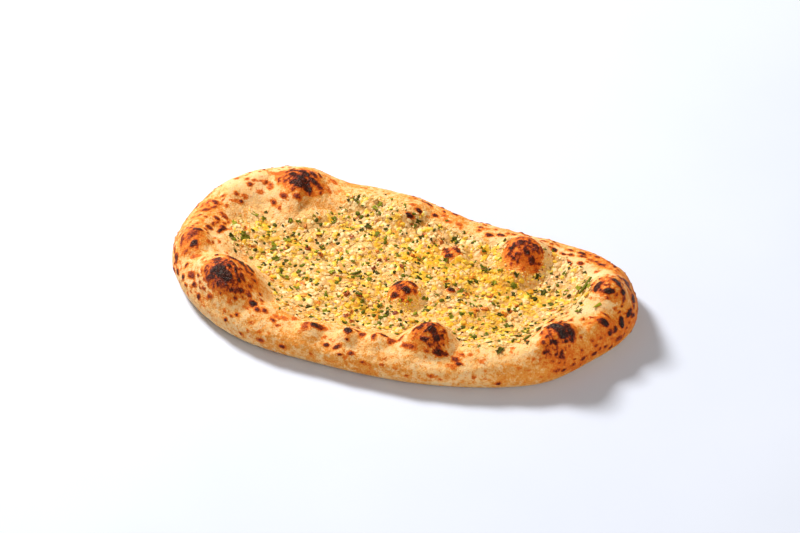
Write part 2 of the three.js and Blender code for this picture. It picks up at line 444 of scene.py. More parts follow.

# %% [markdown]
# ## Where the oven marked it
#
# The hottest places are the crowns of the blisters, where the skin is thin and nearest to the flame. Each
# has a brown patch, which noise breaks up into blotches, and dark scorches in and around it. Both are
# listed from the blister's own centre, so they stay on it. The larger spots round the rim are listed one by
# one, and so are the long soft patches where the rim was browned all over, or stayed pale, and one patch of
# painted shade below the back left blister. All of this could be painted on an image, but a list that
# leaves numbers on the mesh's points stays sharp from close by, and the relief can use it too.

# %% The brown crowns
# From the blister's centre to the right and to the back, half the length, half the width, turn and heat.
CROWNS = {
    "back left": [(-4, 12, 15, 9, -12, 0.7)],
    "front left": [(-3, -10, 14, 11, 5, 0.85), (4, 8, 13, 4.5, -25, 0.9), (9, -10, 7, 7, -30, 0.45)],
    "left end": [(2, 2, 6, 3.5, 80, 0.5), (5, -6, 4, 3, 60, 0.4)],
    "middle": [(-3, 0, 7, 5, 0, 0.5)],
    "middle back": [(-3, -2, 6, 4, 0, 0.5)],
    "back right": [(1, 0, 12, 9, 0, 0.75)],
    "front middle": [(2, -7, 13, 9, -20, 0.6)],
    "front right": [(-1, 1, 10, 8, 0, 0.9), (0, -9, 8, 7, 0, 0.5)],
    "right end": [(-2, 2, 11, 7, 0, 0.4)],
    "right small": [(0, 3, 6, 3.5, 0, 0.45)],
}
print("blisters with a brown crown:", len(CROWNS))

# %% The darkest scorches
# Placed as the crowns are, with the depth of the char last.
SCORCHES = {
    "back left": [
        (-16, 15, 2, 1.3, 10, 0.75), (-10, 13, 3, 2, 0, 1), (-5, 18, 6, 1.8, -10, 1.1),
        (2, 20, 4.5, 1.8, -20, 0.95), (5, 23, 2.6, 1.5, -30, 0.9), (-3, 12, 4, 2.4, 0, 1.15),
        (4, 15, 4, 2, -25, 1.05), (8, 14, 3.2, 1.8, -35, 0.95), (-4, 6, 5, 3.2, 0, 1.1),
        (3, 8, 4.4, 2.6, -15, 1.05), (-13, 6, 1.6, 1.4, 0, 0.9), (-6, 2, 2.6, 1.6, 0, 0.75),
        (-11, -4, 2.6, 1.8, 0, 0.8), (-2, -2, 2.6, 2, 0, 0.75), (-17, -8, 2, 1.2, -30, 1),
        (-11, -11, 1.4, 1, -40, 0.8), (-23, 2, 2.2, 2.4, 0, 0.5), (-27, 5, 1.4, 1, 0, 0.8),
        (-22, 13, 3, 1.6, 20, 0.4), (-27, 13, 2, 1.4, 0, 0.45), (15, 26, 3, 1.5, -20, 0.6),
        (15, 16, 3, 1.2, -40, 0.5),
    ],
    "front left": [
        (-5, -10, 6.5, 4, 10, 1.15), (2, -12, 6, 3.6, -20, 1.15), (-10, -12, 3, 2.6, 40, 1),
        (-1, -16, 5, 2.4, 0, 0.85), (6, -13, 3, 2.4, 0, 0.85), (-2, 6, 4, 2, 10, 1.1),
        (4, 9, 5, 2.2, -25, 1.15), (9, 10, 4, 2.2, -40, 1.15), (11, -7, 4, 1.8, -30, 0.85),
        (9, -18, 3, 2, 0, 0.95), (13, -15, 2.6, 2, 0, 0.95), (-8, -18, 3.4, 1.8, 30, 0.85),
        (-14, -14, 2, 1.4, 0, 0.85), (-18, -10, 1.5, 1.2, 0, 0.8), (17, -8, 2, 2.6, -30, 0.7),
        (22, -18, 3.2, 2.2, -20, 1.05), (18, -15, 3.4, 1.8, -40, 0.75), (8, -22, 2, 1.6, 0, 0.5),
        (23, -8, 1.3, 1, 0, 0.8), (26, -21, 2.4, 1.6, -30, 0.95), (31, -20, 2.2, 1.5, -30, 0.9),
        (-27, -3, 4, 3, 0, 0.8), (-23, -9, 2, 1.8, 0, 0.9), (-18, -15, 2, 1.5, 60, 0.95),
    ],
    "left end": [
        (4, 8, 3, 2, 20, 1), (2, 2, 5, 3.6, 70, 0.75), (6, -6, 3.4, 2.2, 70, 1.1),
        (-3, -3, 6, 1.6, 80, 0.7), (-7, 5, 2, 1.2, 60, 0.8),
    ],
    "middle": [
        (-7, 4, 3.4, 3.4, 0, 1.15), (2, -3, 3, 2.4, 0, 1.15), (-5, -6, 3.2, 2.4, 20, 1),
        (3, 5, 4, 2, -10, 0.9), (0, -8, 1.4, 1.6, 0, 0.75), (-4, -2, 2.4, 3, 0, 0.75),
        (5, -8, 1.6, 1.4, 0, 0.7), (7, 0, 2, 1.6, -30, 0.7),
    ],
    "back edge": [(-2, -6, 3.4, 1.6, -20, 1.1), (3, -2, 2.2, 1.3, -20, 1.05), (-8, -8, 2, 1.4, 0, 0.7)],
    "middle back": [
        (-7, 1, 1.9, 1.6, 0, 1), (2, 0, 2, 1.6, 0, 1.05), (-3, -5, 2.4, 1.6, 0, 1.05),
        (-2, 2, 1.4, 1.1, 0, 0.9),
    ],
    "back right": [
        (-2, 5, 2.6, 1.9, -10, 1.05), (4, 0, 2, 1.7, 0, 1.1), (-1, -2, 1.8, 1.5, 0, 0.95),
        (-7, -2, 1.8, 2, 30, 0.95), (9, -3, 2, 3.4, 20, 1.05), (8, 5, 3, 1.2, -40, 0.9),
        (13, 5, 2.6, 1, -50, 0.85), (-12, 9, 2.4, 1, 20, 0.7), (-6, 1, 1.6, 1.2, 0, 0.8),
        (-4, -8, 1.6, 2, 0, 0.7), (5, -10, 1.8, 1.2, 20, 0.6), (14, -2, 1.3, 1.2, 0, 0.8),
        (13, -6, 2.4, 1.4, 40, 0.55),
    ],
    "front middle": [
        (-2, -2, 4, 1.4, 0, 0.95), (-4, -6, 2.6, 1.8, 20, 1), (4, -7, 3.6, 2.4, -40, 1.15),
        (8, -9, 2.6, 2.4, -40, 1.1), (0, -12, 3.2, 1.8, -10, 0.95), (5, -13, 2.8, 1.6, -10, 0.85),
        (10, -14, 3.2, 2.8, 10, 1), (6, 1, 2.2, 1.2, -40, 0.85), (10, -3, 2, 1.1, -50, 0.85),
        (-6, -10, 1, 1, 0, 0.85), (3, -17, 2, 1, 0, 0.75), (-12, -15, 2, 1.4, 0, 0.75),
        (-6, -16, 3, 1.2, 0, 0.55),
    ],
    "front right": [
        (-2, 2, 6, 4, -20, 1.2), (-9, 6, 3.6, 1.4, 10, 1), (1, -2, 3, 2.2, -40, 1.15),
        (3, 6, 4.4, 2.2, -20, 1.1), (7.5, 5.5, 2, 1.8, 0, 1.05), (7, 2.5, 2.2, 1.8, 0, 1.1),
        (-2, -7, 3, 1.8, 10, 1), (-8, -9, 1.6, 1.6, 0, 0.9), (-5, -12, 2.6, 1.6, 40, 0.95),
        (3, -7, 1.9, 3, 0, 1), (11, 9, 1.2, 1, 0, 0.75), (14, 5, 1.3, 1, 0, 0.65),
        (-1, -12, 1.4, 1, 0, 0.6),
    ],
    "right end": [
        (1, -5, 3.2, 2.2, 0, 1.25), (-8, -1, 4.6, 3, 60, 1.1), (3, 4, 3.8, 2.5, -32, 1.2),
        (9, 0, 2.6, 2.3, -60, 1.15), (3, 14, 2.2, 2, -50, 0.95), (8, 14, 4.4, 2.9, -52, 1.15),
        (1, -9, 1.8, 1, 0, 0.7), (10, -4, 2.8, 1.4, -60, 0.95), (-15, 22, 1.5, 1.3, 0, 0.6),
    ],
    "right small": [(0, 4, 4, 2.2, 0, 1.1), (0, 10, 3.6, 0.9, -10, 0.8), (4, 16, 1.6, 1.2, 0, 0.5)],
    "middle small": [(0, 1, 2.8, 2.1, 0, 1.15)],
    "middle left": [(-4, 2, 1.8, 1.5, 0, 0.9)],
}
print("scorches on the blisters:", sum(len(listed) for listed in SCORCHES.values()))

# %% The larger spots round the rim
# Placed from the middle of the bread: right, back, half the length, half the width, the turn, the depth.
RIM_SPOTS = [
    (-124, 47, 2.2, 1.6, 10, 0.85), (-122, 51, 4, 1, 15, 0.5), (-129, 33, 1.7, 1.5, 0, 0.85),
    (-124, 36, 2.2, 1.8, 0, 0.45), (-116, 45, 2.4, 1.8, 0, 0.5), (-111, 50, 2.2, 2.6, 0, 0.55),
    (-115, 52, 1.3, 1, 0, 0.75), (-136, 28, 1.5, 1, 40, 0.7), (-139, 21, 3.2, 1.6, -35, 0.85),
    (-127, 28, 3, 1.8, 0, 0.4), (-147, 16, 1.4, 1, 60, 0.85), (-142, 12, 4, 1.3, 20, 0.7),
    (-130, 13, 4, 1.5, -20, 0.75), (-133, 7, 2.4, 1.5, -10, 0.95), (-144, 4, 2.2, 1.2, 50, 0.8),
    (-139, 4, 1.3, 1, 0, 0.7), (-148, 2, 1.5, 1, 80, 0.75), (-127, 6, 1.4, 1.1, 0, 0.8),
    (-133, -5, 2.2, 1.9, 0, 0.95), (-126, 2, 2.4, 1.9, 0, 0.95), (-117, 10, 3.6, 2.2, -10, 0.7),
    (-138, -34, 2.2, 1.6, 60, 0.7), (-145, -35, 4, 2, 80, 0.95), (-149, -27, 3, 1.3, 80, 0.8),
    (-131, -37, 2.2, 1.8, 0, 0.6), (-134, -43, 1.6, 1.2, 70, 0.9), (-141, -43, 2.4, 1.4, 80, 0.95),
    (-133, -19, 2, 1.6, 0, 0.45), (-128, -20, 1.7, 1.4, 0, 0.5), (-5, 73, 3.4, 1.3, -25, 0.95),
    (-13, 63, 2, 1.4, 0, 0.55), (3, 63, 2, 1.5, -10, 1), (-2, 58, 1.2, 1, 0, 0.9),
    (13, 62, 2.2, 1.3, -20, 0.55), (21, 61, 2.4, 1.4, -20, 0.6), (9, 66, 1.5, 1, 0, 0.7),
    (36, 62, 1.9, 1.2, -10, 0.95), (44, 54, 2.6, 1.7, -10, 1), (52, 56, 2.6, 1.6, -10, 1),
    (60, 59, 1.8, 1, -10, 0.8), (68, 63, 2, 1, -10, 0.85), (90, 51, 2, 1.8, -40, 1.05),
    (81, 58, 2.2, 1, -20, 0.65), (97, 49, 1.9, 1.2, -10, 0.85), (102, 49, 2, 1.2, -10, 0.85),
    (100, 55, 2.2, 1.1, -20, 0.95), (109, 53, 3, 1.3, -20, 1.05), (110, 49, 2.6, 1.2, -10, 1),
    (90, 58, 2.4, 1, -20, 0.6), (117, 47, 2.2, 1.8, -10, 0.65), (28, 51, 2.4, 1.5, 0, 0.4),
    (131, 48, 1.8, 1, -30, 0.85), (103, 41, 2.4, 1.9, 20, 0.95), (111, 41, 2, 1.6, -20, 0.9),
    (125, 43, 2.8, 1.4, -10, 0.95), (119, 52, 2.2, 1.3, -20, 0.8), (152, 19, 3.6, 2.4, -70, 1.1),
    (154, 14, 2.4, 1.2, -75, 0.8), (153, 5, 3.8, 1.8, -82, 1.15), (150, -3, 3.9, 2.1, -35, 1.2),
    (148, -10, 2.1, 1.7, -40, 1), (146, -14, 2.3, 1.9, -40, 1), (153, -5, 1.3, 1, 60, 0.85),
    (151, -10, 4, 1.8, 80, 0.9), (142, -20, 2, 1.2, 60, 0.75), (142, -24, 1.8, 1.2, 50, 0.75),
    (137, -26, 1.5, 1, 0, 0.7), (146, -20, 2, 1, 60, 0.9), (141, -29, 2.4, 1.2, 60, 1),
    (134, -36, 2, 1.3, 50, 0.9), (131, -44, 2.4, 1, 50, 0.85), (124, -46, 1.6, 1.2, 0, 0.8),
    (128, -34, 1.3, 1.1, 0, 0.75), (126, -40, 1.2, 1, 0, 0.7), (116, -50, 1.4, 1, 0, 0.75),
    (-61, -69, 3, 1.4, -10, 0.55), (-56, -69, 2.6, 1.4, -10, 0.55), (-50, -66, 2, 2.4, 0, 0.55),
    (-40, -73, 3, 4, 0, 0.65), (-35, -72, 2.6, 3, -30, 1.15), (-31, -70, 2.2, 2.8, -20, 0.85),
    (-28, -69, 1.5, 1.4, 0, 0.65), (-12, -71, 2.2, 3, 0, 1.2), (-13, -66, 3.2, 3, 0, 0.85),
    (-8, -66, 2.6, 2.6, -20, 0.8), (-3, -67, 2, 2.6, 0, 0.8), (5, -70, 1.3, 2.4, 0, 0.9),
    (5, -61, 2.2, 2.4, -20, 0.75), (11, -65, 2.5, 3, -20, 1.05), (16, -68, 2.8, 3, 0, 0.75),
    (21, -63, 1.8, 2.6, 0, 0.9), (27, -70, 2, 1.6, 0, 0.75), (31, -71, 3, 2, 0, 0.6),
    (53, -68, 1.8, 1.3, 0, 0.85), (59, -69, 2.4, 1.9, 0, 0.8), (62, -66, 2, 1.2, 0, 0.65),
    (68, -64, 1.5, 1.2, 0, 0.55),
]
print("larger spots round the rim:", len(RIM_SPOTS))

# %% Where a mark lies on the skin
top_of_bread = np.flatnonzero(bread_normals[:, 2] > 0)
top_tree = plan_tree(bread_points[top_of_bread, :2], top_of_bread)


def mark(number, length, width, turn, depth):
    """A mark as its centre, its two directions on the skin, its two half sizes and its depth."""
    normal = bread_normals[number]
    along = np.array([math.cos(turn), math.sin(turn), 0])
    along -= normal * (along @ normal)
    along /= np.linalg.norm(along)
    return bread_points[number], along, np.cross(normal, along), length, width, depth


def placed(listed, centre_x=0, centre_y=0):
    """Marks that are listed from a centre, as marks on the skin."""
    right, back, *_ = np.array(listed, float).T
    numbers = nearest(top_tree, centre_x + right, centre_y + back)
    return [
        mark(number, length, width, math.radians(turn), depth)
        for number, (_, _, length, width, turn, depth) in zip(numbers, listed)
    ]


def placed_on_blisters(marks_of_blisters):
    marks = []
    for blister, listed in marks_of_blisters.items():
        marks += placed(listed, *blister_centre(blister))
    return marks


crown_marks = placed_on_blisters(CROWNS)
named_marks = placed_on_blisters(SCORCHES) + placed(RIM_SPOTS)
print("marks placed by hand:", len(crown_marks) + len(named_marks))

# %% Where the rim was browned all over, and one patch of painted shade
# Right and back from the middle of the bread, half the length, half the width, the turn, how brown or pale.
# One patch is painted shade.
BROWNED_AND_SHADED = [
    (-157, -6, 48, 7, 90, 0.2), (-133, -66, 28, 6, -40, 0.2), (-122, 70, 30, 6, 40, 0.1),
    (-62, 88, 30, 8, 5, 0.35), (4, 74, 50, 10, -8, 0.36), (84, 70, 45, 6, -22, 0.45),
    (138, 46, 28, 7, -50, 0.5), (156, 4, 38, 9, 90, 0.75), (144, -20, 22, 6, 65, 1),
    (128, -44, 20, 6, 50, 0.9), (98, -67, 26, 8, 20, 0.45), (20, -86, 40, 6, 2, 0.25),
    # The last patch on the next line is painted shade below the back left blister, not browning.
    (-40, -84, 55, 7, -3, 0.3), (-72, -54, 34, 9, -15, 0.1), (-66, 50, 18, 9, -10, 0.3),
    (112, 30, 17, 14, 0, -0.45), (96, 45, 18, 7, -25, -0.3), (130, -6, 14, 9, 0, -0.4),
    (53, 33, 6, 10, 20, -0.35), (96, -52, 20, 8, 20, -0.1), (-141, 8, 22, 11, 80, 0.38),
    (-60, -64, 14, 6, 0, 0.2), (-8, -61, 22, 6, 0, 0.3), (10, -23, 12, 6, 0, -0.35),
    (-126, 46, 24, 12, 50, -0.25), (112, 12, 12, 14, 0, -0.3), (123, 28, 12, 9, -30, -0.3),
    (126, 43, 16, 5, -35, 1),
]
LEAST_AND_MOST_BROWN = (-0.5, 0.9)
# The foot stays pale up to this height, and browns over the next one.
FOOT_PALE, FOOT_FADE = 2, 8


def patches_on(points, patches):
    """The sum of soft patches seen from above, each with its share at its centre."""
    x, y = points[:, :2].T
    total = np.zeros(len(points))
    for right, back, length, width, turn, share in patches:
        along, across = math.cos(math.radians(turn)), math.sin(math.radians(turn))
        u = ((x - right) * along + (y - back) * across) / length
        v = ((y - back) * along - (x - right) * across) / width
        total += share * np.exp(-u * u - v * v)
    return total


rim_toast_and_shade = np.clip(patches_on(bread_points, BROWNED_AND_SHADED), *LEAST_AND_MOST_BROWN)
rim_toast_and_shade *= smooth((bread_points[:, 2] - FOOT_PALE) / FOOT_FADE)
print("the rim is browned by, in shares:", rim_toast_and_shade.min().round(2), "to", rim_toast_and_shade.max().round(2))

# %% [markdown]
# The small marks are the leopard spots of the rim. There are hundreds, so they are drawn at random, most of
# them in clumps at the two ends of the bread and where the rim is brown, and longer along the rim than
# across it.

# %% Where leopard spots are likely
# The ends of the bread start this far from its middle, and are in full force this much further out.
ENDS_FROM, ENDS_OVER = 60, 75
# How wide the spotted band of the rim is along the sides, how much wider at the ends, and its soft edge.
BAND_WIDTH, BAND_WIDER, BAND_FADE = 13, 20, 9
# The foot has none up to this height, and more and more over the next one.
SPOTS_FROM, SPOTS_OVER = 5, 7
CLUMP_WIDTH = 19
# The front right of the rim is nearly smooth.
SMOOTH_STRETCH = [(92, -66, 36, 18, 0, 0.92)]
# What is left of the spots along the sides, between the clumps, on plain and on the palest dough.
AT_SIDES, AT_GAPS, ON_PLAIN, ON_PALE = 0.22, 0.12, 0.5, 0.03

edge_distance, _ = from_edge(*(bread_points[:, :2] + edge_middle).T)


def spot_density():
    """How likely a spot is at each point of the skin: high at the two ends, none in the middle."""
    to_end = smooth((np.abs(bread_points[:, 0]) - ENDS_FROM) / ENDS_OVER)
    inner = 1 - smooth((edge_distance - (BAND_WIDTH + BAND_WIDER * to_end)) / BAND_FADE)
    clumps = smooth(0.45 + 2 * lumps(bread_points, CLUMP_WIDTH, 3))
    height = smooth((bread_points[:, 2] - SPOTS_FROM) / SPOTS_OVER)
    ends = (AT_SIDES + (1 - AT_SIDES) * to_end) * (AT_GAPS + (1 - AT_GAPS) * clumps)
    ends *= 1 - patches_on(bread_points, SMOOTH_STRETCH)
    return inner * height * ends * np.maximum(ON_PLAIN + 1.1 * rim_toast_and_shade, ON_PALE)


chance = spot_density()
print("share of the skin that could have a leopard spot:", round(float((chance > 0.1).mean()), 2))

# %% The leopard spots
SPOT_COUNT, SPOT_SPACING, SPOT_SEED, SPOT_TRIES = 400, 3.4, 11, 9
# The least half width and depth, how much more each can be, and a power that makes large ones rare.
SPOT_SIZE, SPOT_DEPTH = (0.5, 1, 2.2), (0.35, 0.8, 1.4)
# How many times longer than wide a spot is, and how far it is turned away from the rim's direction.
SPOT_STRETCH, SPOT_ASKEW = (1, 2.1), 0.35


def leopard_spots():
    rng = np.random.default_rng(SPOT_SEED)

    def drawn(least, more, power):
        return least + more * rng.random() ** power

    order = rng.choice(len(chance), size=SPOT_TRIES * SPOT_COUNT, replace=False, p=chance / chance.sum())
    taken = np.array([centre for centre, *_ in named_marks] + [(np.inf, 0, 0)] * SPOT_COUNT)
    spots = []
    for number in order.tolist():
        if np.linalg.norm(taken - bread_points[number], axis=1).min() > SPOT_SPACING:
            taken[len(named_marks) + len(spots)] = bread_points[number]
            sample = edge_tree.find((*bread_points[number, :2], 0))[1]
            step = edge_curve[(sample + 1) % EDGE_SAMPLES] - edge_curve[sample]
            turn = math.atan2(step[1], step[0]) + rng.normal(0, SPOT_ASKEW)
            size, depth = drawn(*SPOT_SIZE), drawn(*SPOT_DEPTH)
            spots.append(mark(number, size * rng.uniform(*SPOT_STRETCH), size, turn, depth))
        if len(spots) == SPOT_COUNT:
            break
    return spots


small_marks = leopard_spots()
print("leopard spots:", len(small_marks))

# %% [markdown]
# Each mark leaves its trace in two fields. The first says how scorched the skin is: a crown fades out
# softly, and a spot has a crisp and ragged edge. The second says how toasted it is, which reaches further,
# as every mark has a golden halo.

# %% The fields that the marks leave
# How far crowns and spots fade out, how far each can reach beyond its size, and how ragged its edge is.
CROWN_FADE, CROWN_REACH, CROWN_RAGGED = 4.2, 21, 0.3
SPOT_FADE, SPOT_REACH, SPOT_RAGGED = 2.2, 6.6, 0.5
# A crown toasts the dough around it this much further than it burns it, and a spot this strongly.
HALO_WIDER, SPOT_HALO = 1.7, 0.6
# A mark on top of the rim doesn't reach the skin more than this far above or below it.
SKIN_DEPTH = 6
MOST_BURNT = 1.5
# Height, width and seed of the noises that make a mark ragged and a crown blotchy.
RAGGED = [(0.6, 2.6, 5), (0.5, 5.5, 6)]
BLOTCHY = [(0.7, 4, 4), (0.8, 2, 7)]


def on_mark(centre, along, across, reach):
    """The points of the skin near a mark, and how far each lies along and across it."""
    near = np.flatnonzero((np.abs(bread_points - centre) < reach).all(axis=1))
    away = bread_points[near] - centre
    level = np.abs(away @ np.cross(along, across)) < SKIN_DEPTH
    return near[level], away[level] @ along, away[level] @ across


def marked():
    """How scorched and how toasted each point of the skin is."""
    scorch, plain = np.zeros(len(bread_points)), 1 - np.maximum(rim_toast_and_shade, 0)
    wobble, blotches = layered_lumps(bread_points, RAGGED), layered_lumps(bread_points, BLOTCHY)
    for centre, along, across, length, width, heat in crown_marks:
        near, u, v = on_mark(centre, along, across, length + CROWN_REACH)
        away = np.hypot(u / length, v / width) + CROWN_RAGGED * wobble[near]
        outside = np.maximum(away - 1, 0) * math.sqrt(length * width)
        burnt = heat * (0.55 + 0.6 * np.maximum(1 - away, 0)) + blotches[near]
        burnt = np.minimum(burnt, MOST_BURNT) * np.exp(-(outside / CROWN_FADE) ** 1.3)
        scorch[near] = np.maximum(scorch[near], burnt)
        plain[near] *= 1 - min(1, 1.2 * heat) * np.exp(-(outside / (HALO_WIDER * CROWN_FADE)) ** 1.5)
    for centre, along, across, length, width, depth in named_marks + small_marks:
        near, u, v = on_mark(centre, along, across, 1.5 * length + SPOT_REACH)
        away = np.hypot(u / length, v / width) + SPOT_RAGGED * wobble[near]
        outside = (away - 1) * math.sqrt(length * width)
        fade = SPOT_FADE * (1.9 - 0.9 * min(depth, 1))
        scorch[near] = np.maximum(scorch[near], depth * (1 - smooth(outside / fade + 0.4)))
        halo = np.exp(-(np.maximum(outside, 0) / (0.5 * SPOT_FADE)) ** 1.5)
        plain[near] *= 1 - SPOT_HALO * min(depth, 1) * halo
    return scorch, 1 - plain + np.minimum(rim_toast_and_shade, 0)


scorch, toast_and_shade = marked()
print("share of the skin that is scorched:", round(float((scorch > 0.5).mean()), 3))

# %% [markdown]
# ## Where the garlic lies
#
# The garlic is chopped, stirred into soft butter and pressed into the middle before baking, so it stops
# short of the rim. Its limit is a closed curve again. Inside the curve the cover grows from nothing to
# whole, quickly along the sides and slowly at the sparse left end, with a ragged edge. The tops of the
# blisters that rose under it are bare. The butter ran on beyond the garlic, and gathered in a few yellow
# pools.

# %% The limit of the spread, in millimetres
SPREAD_EDGE = [
    (123, -2), (123, 15), (115, 37), (99, 47), (72, 50), (50, 52), (36, 56), (17, 62), (-4, 68), (-34, 71),
    (-60, 68), (-66, 52), (-78, 38), (-94, 31), (-108, 32), (-121, 27), (-128, 8), (-124, -9), (-112, -15),
    (-96, -14), (-85, -28), (-70, -49), (-50, -65), (-28, -62), (-6, -56), (14, -51), (34, -39), (52, -46),
    (64, -60), (86, -56), (98, -43), (101, -24), (112, -15),
]
SPREAD_SAMPLES = 990
SPREAD_RAGGED = 7
SPREAD_REACH = 2
# The cover grows over the first distance, and over the second one at the sparse left end.
SPREAD_FADE, SPARSE_FADE = 7, 24
SPARSE_FROM, SPARSE_TO = -90, -116
# The bare share of each blister's radius, and how far its middle lies to the right and to the back.
BARE_CROWNS = {
    "back right": (0.78, 3, 0),
    "middle": (0.92, 1, -1),
    "middle small": (1, 0, 0),
    "middle back": (0.56, -3, -1),
    "back edge": (0.6, 0, 0),
    "front middle": (0.95, 0, 0),
}
# The outermost part of the rim is bare, and the cover grows over the next stretch.
BARE_RIM, BARE_RIM_FADE = 15, 8
# Butter ran this far beyond the garlic, and thins out over this distance.
STAIN_REACH, STAIN_FADE = 8, 24
# The width and the seed of the noise that makes each ragged.
SPREAD_NOISE, STAIN_NOISE = (9, 8), (6, 9)

spread_curve = closed_curve(SPREAD_EDGE, SPREAD_SAMPLES)
spread_tree = plan_tree(spread_curve, range(SPREAD_SAMPLES))
print("stretches of the spread's limit:", len(SPREAD_EDGE))

# %% How much garlic and butter there is


def inside_spread(x, y):
    """How far each place lies inside the limit of the spread, below zero outside it."""
    sample = nearest(spread_tree, x, y)
    away = np.stack([x, y], axis=1) - spread_curve[sample]
    step = spread_curve[(sample + 1) % SPREAD_SAMPLES] - spread_curve[sample - 1]
    side = np.sign(step[:, 0] * away[:, 1] - step[:, 1] * away[:, 0])
    return side * np.linalg.norm(away, axis=1)


def bare_crown(x, y, size=1):
    """1 on top of a blister that rose through the spread, 0 away from it."""
    bare = np.zeros(len(x))
    for blister, (share, right, back) in BARE_CROWNS.items():
        centre_x, centre_y = blister_centre(blister)
        radius = BLISTERS[blister][2] * share * size
        away = np.hypot(x - right - centre_x, y - back - centre_y) / radius
        bare = np.maximum(bare, 1 - smooth((away - 0.75) / 0.5))
    return bare


def spread_cover(points, bare_size=1):
    """How much of the skin the garlic covers, from 0 to 1."""
    x, y = points[:, :2].T
    within = inside_spread(x, y) + SPREAD_REACH + SPREAD_RAGGED * lumps(points * (1, 1, 0), *SPREAD_NOISE)
    on_rim = from_edge(x + edge_middle[0], y + edge_middle[1])[0]
    sparse = smooth((x - SPARSE_FROM) / (SPARSE_TO - SPARSE_FROM))
    cover = smooth(within / (SPREAD_FADE + (SPARSE_FADE - SPREAD_FADE) * sparse))
    return cover * smooth((on_rim - BARE_RIM) / BARE_RIM_FADE) * (1 - bare_crown(x, y, bare_size))


def stained(points):
    """How far the butter has run into the skin, also beyond the garlic and up the blisters."""
    ragged = SPREAD_RAGGED * lumps(points * (1, 1, 0), *STAIN_NOISE)
    return smooth((inside_spread(*points[:, :2].T) + STAIN_REACH + ragged) / STAIN_FADE)


cover, stain = np.zeros(len(bread_points)), np.zeros(len(bread_points))
cover[top_of_bread] = spread_cover(bread_points[top_of_bread])
stain[top_of_bread] = stained(bread_points[top_of_bread])
print("share of the skin under garlic:", round(float(cover.mean()), 3))

# %% Where the butter gathered
# Right and back from the middle of the bread, half the length, half the width, the turn, how much butter.
BUTTER_POOLS = [
    (20, 22, 42, 13, -8, 0.9), (63, -25, 24, 11, 10, 0.7), (-24, -35, 28, 10, -5, 0.5),
    (-70, 9, 16, 9, 0, 0.45), (58, 29, 7, 13, 20, 0.8), (-30, 38, 8, 7, 0, 0.7), (-58, 43, 9, 7, 0, 0.5),
    (72, 2, 22, 9, 0, 0.4), (98, 8, 10, 10, 0, 0.5), (68, 18, 14, 5, 0, 0.8), (10, -20, 12, 9, 0, 0.75),
    (-42, 8, 10, 7, 0, 0.3), (-18, -12, 14, 8, 0, 0.4), (20, -36, 16, 7, 20, 0.4),
    (-102, 12, 22, 14, 0, 0.35), (-82, -18, 20, 12, 10, 0.35), (-8, 55, 20, 7, -10, 0.2),
]

butter = patches_on(bread_points, BUTTER_POOLS) * stain
print("share of the skin that is yellow with butter:", round(float((butter > 0.4).mean()), 3))

# %% [markdown]
# ## The fine relief
#
# The form so far is as smooth as a pillow. A real skin sags and swells a little, wrinkles over the rim,
# blisters into pimples, cracks where it is scorched, and is pebbly under the garlic. All of this moves each
# point along the skin's own normal, so it shows from every side and in the outline. It fades out towards
# the foot, because the bread lies flat on the table.

# %% The fine relief, in millimetres
# Height and width of each kind.
SWELL = (0.8, 13)
WRINKLE = (0.32, 4.2)
PIMPLE = (0.35, 6.5)
CRUST = (0.45, 3.2)
PEBBLE = (0.3, 3.8)
MARK_SWELL = 0.12
PIMPLED_SHARE = 0.25
# The relief starts at this height of the foot and grows over the next one.
RELIEF_FROM, RELIEF_OVER = 1, 8


def pimples(points, width, seed):
    """Small round bumps, at one in four of the places that could have one."""
    height = np.empty(len(points))
    for number, place in enumerate((points / width + seed * SEED_STEP).tolist()):
        distances, centres = noise.voronoi(place)
        height[number] = max(0, 1 - 2.4 * distances[0]) if draw(centres[0], 5) > 1 - PIMPLED_SHARE else 0
    return smooth(height)


def ridged(points, width, seed):
    return 1 - 2 * np.abs(lumps(points, width, seed))


foot_free = smooth((bread_points[:, 2] - RELIEF_FROM) / RELIEF_OVER)
pebbles = ridged(bread_points, PEBBLE[1], 12) + 0.5 * lumps(bread_points, PEBBLE[1] / 2, 13)
crust = ridged(bread_points, CRUST[1], 14) + 0.5 * ridged(bread_points, CRUST[1] / 2, 15)
raised = SWELL[0] * lumps(bread_points, SWELL[1], 16)
raised += WRINKLE[0] * lumps(bread_points * (0.7, 1, 1), WRINKLE[1], 17) * (1 - 0.6 * cover)
raised += PIMPLE[0] * pimples(bread_points, PIMPLE[1], 18) * (1 - cover)
raised += MARK_SWELL * np.clip(scorch, 0, 1) + CRUST[0] * crust * smooth((scorch - 0.3) * 1.6)
raised += PEBBLE[0] * pebbles * cover * (1 - smooth(scorch))
bread_points += bread_normals * (raised * foot_free)[:, None]
print("the relief moves the skin by, in mm:", raised.min().round(2), "to", raised.max().round(2))

# %% The bread
bread = make_piece("naan_bread", "dough", bread_points, bread_faces, {
    "scorch": scorch,
    "toast_and_shade": toast_and_shade,
    "stain": stain,
    "butter": butter,
})
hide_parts("naan")
bread_top = bvhtree.BVHTree.FromPolygons(bread_points.tolist(), bread_faces)

# %% [markdown]
# ## Shader maths as plain expressions
#
# A finish is a small program made of nodes. Written node by node it is hard to read, so two small classes
# help. A `Signal` is the output of a node, and adding, subtracting or multiplying signals adds the nodes
# that do it. A `Finish` is a material that is being made, and its one method `node` adds any other node.
# The other methods are short names for what all the finishes here need.

# %% Signals


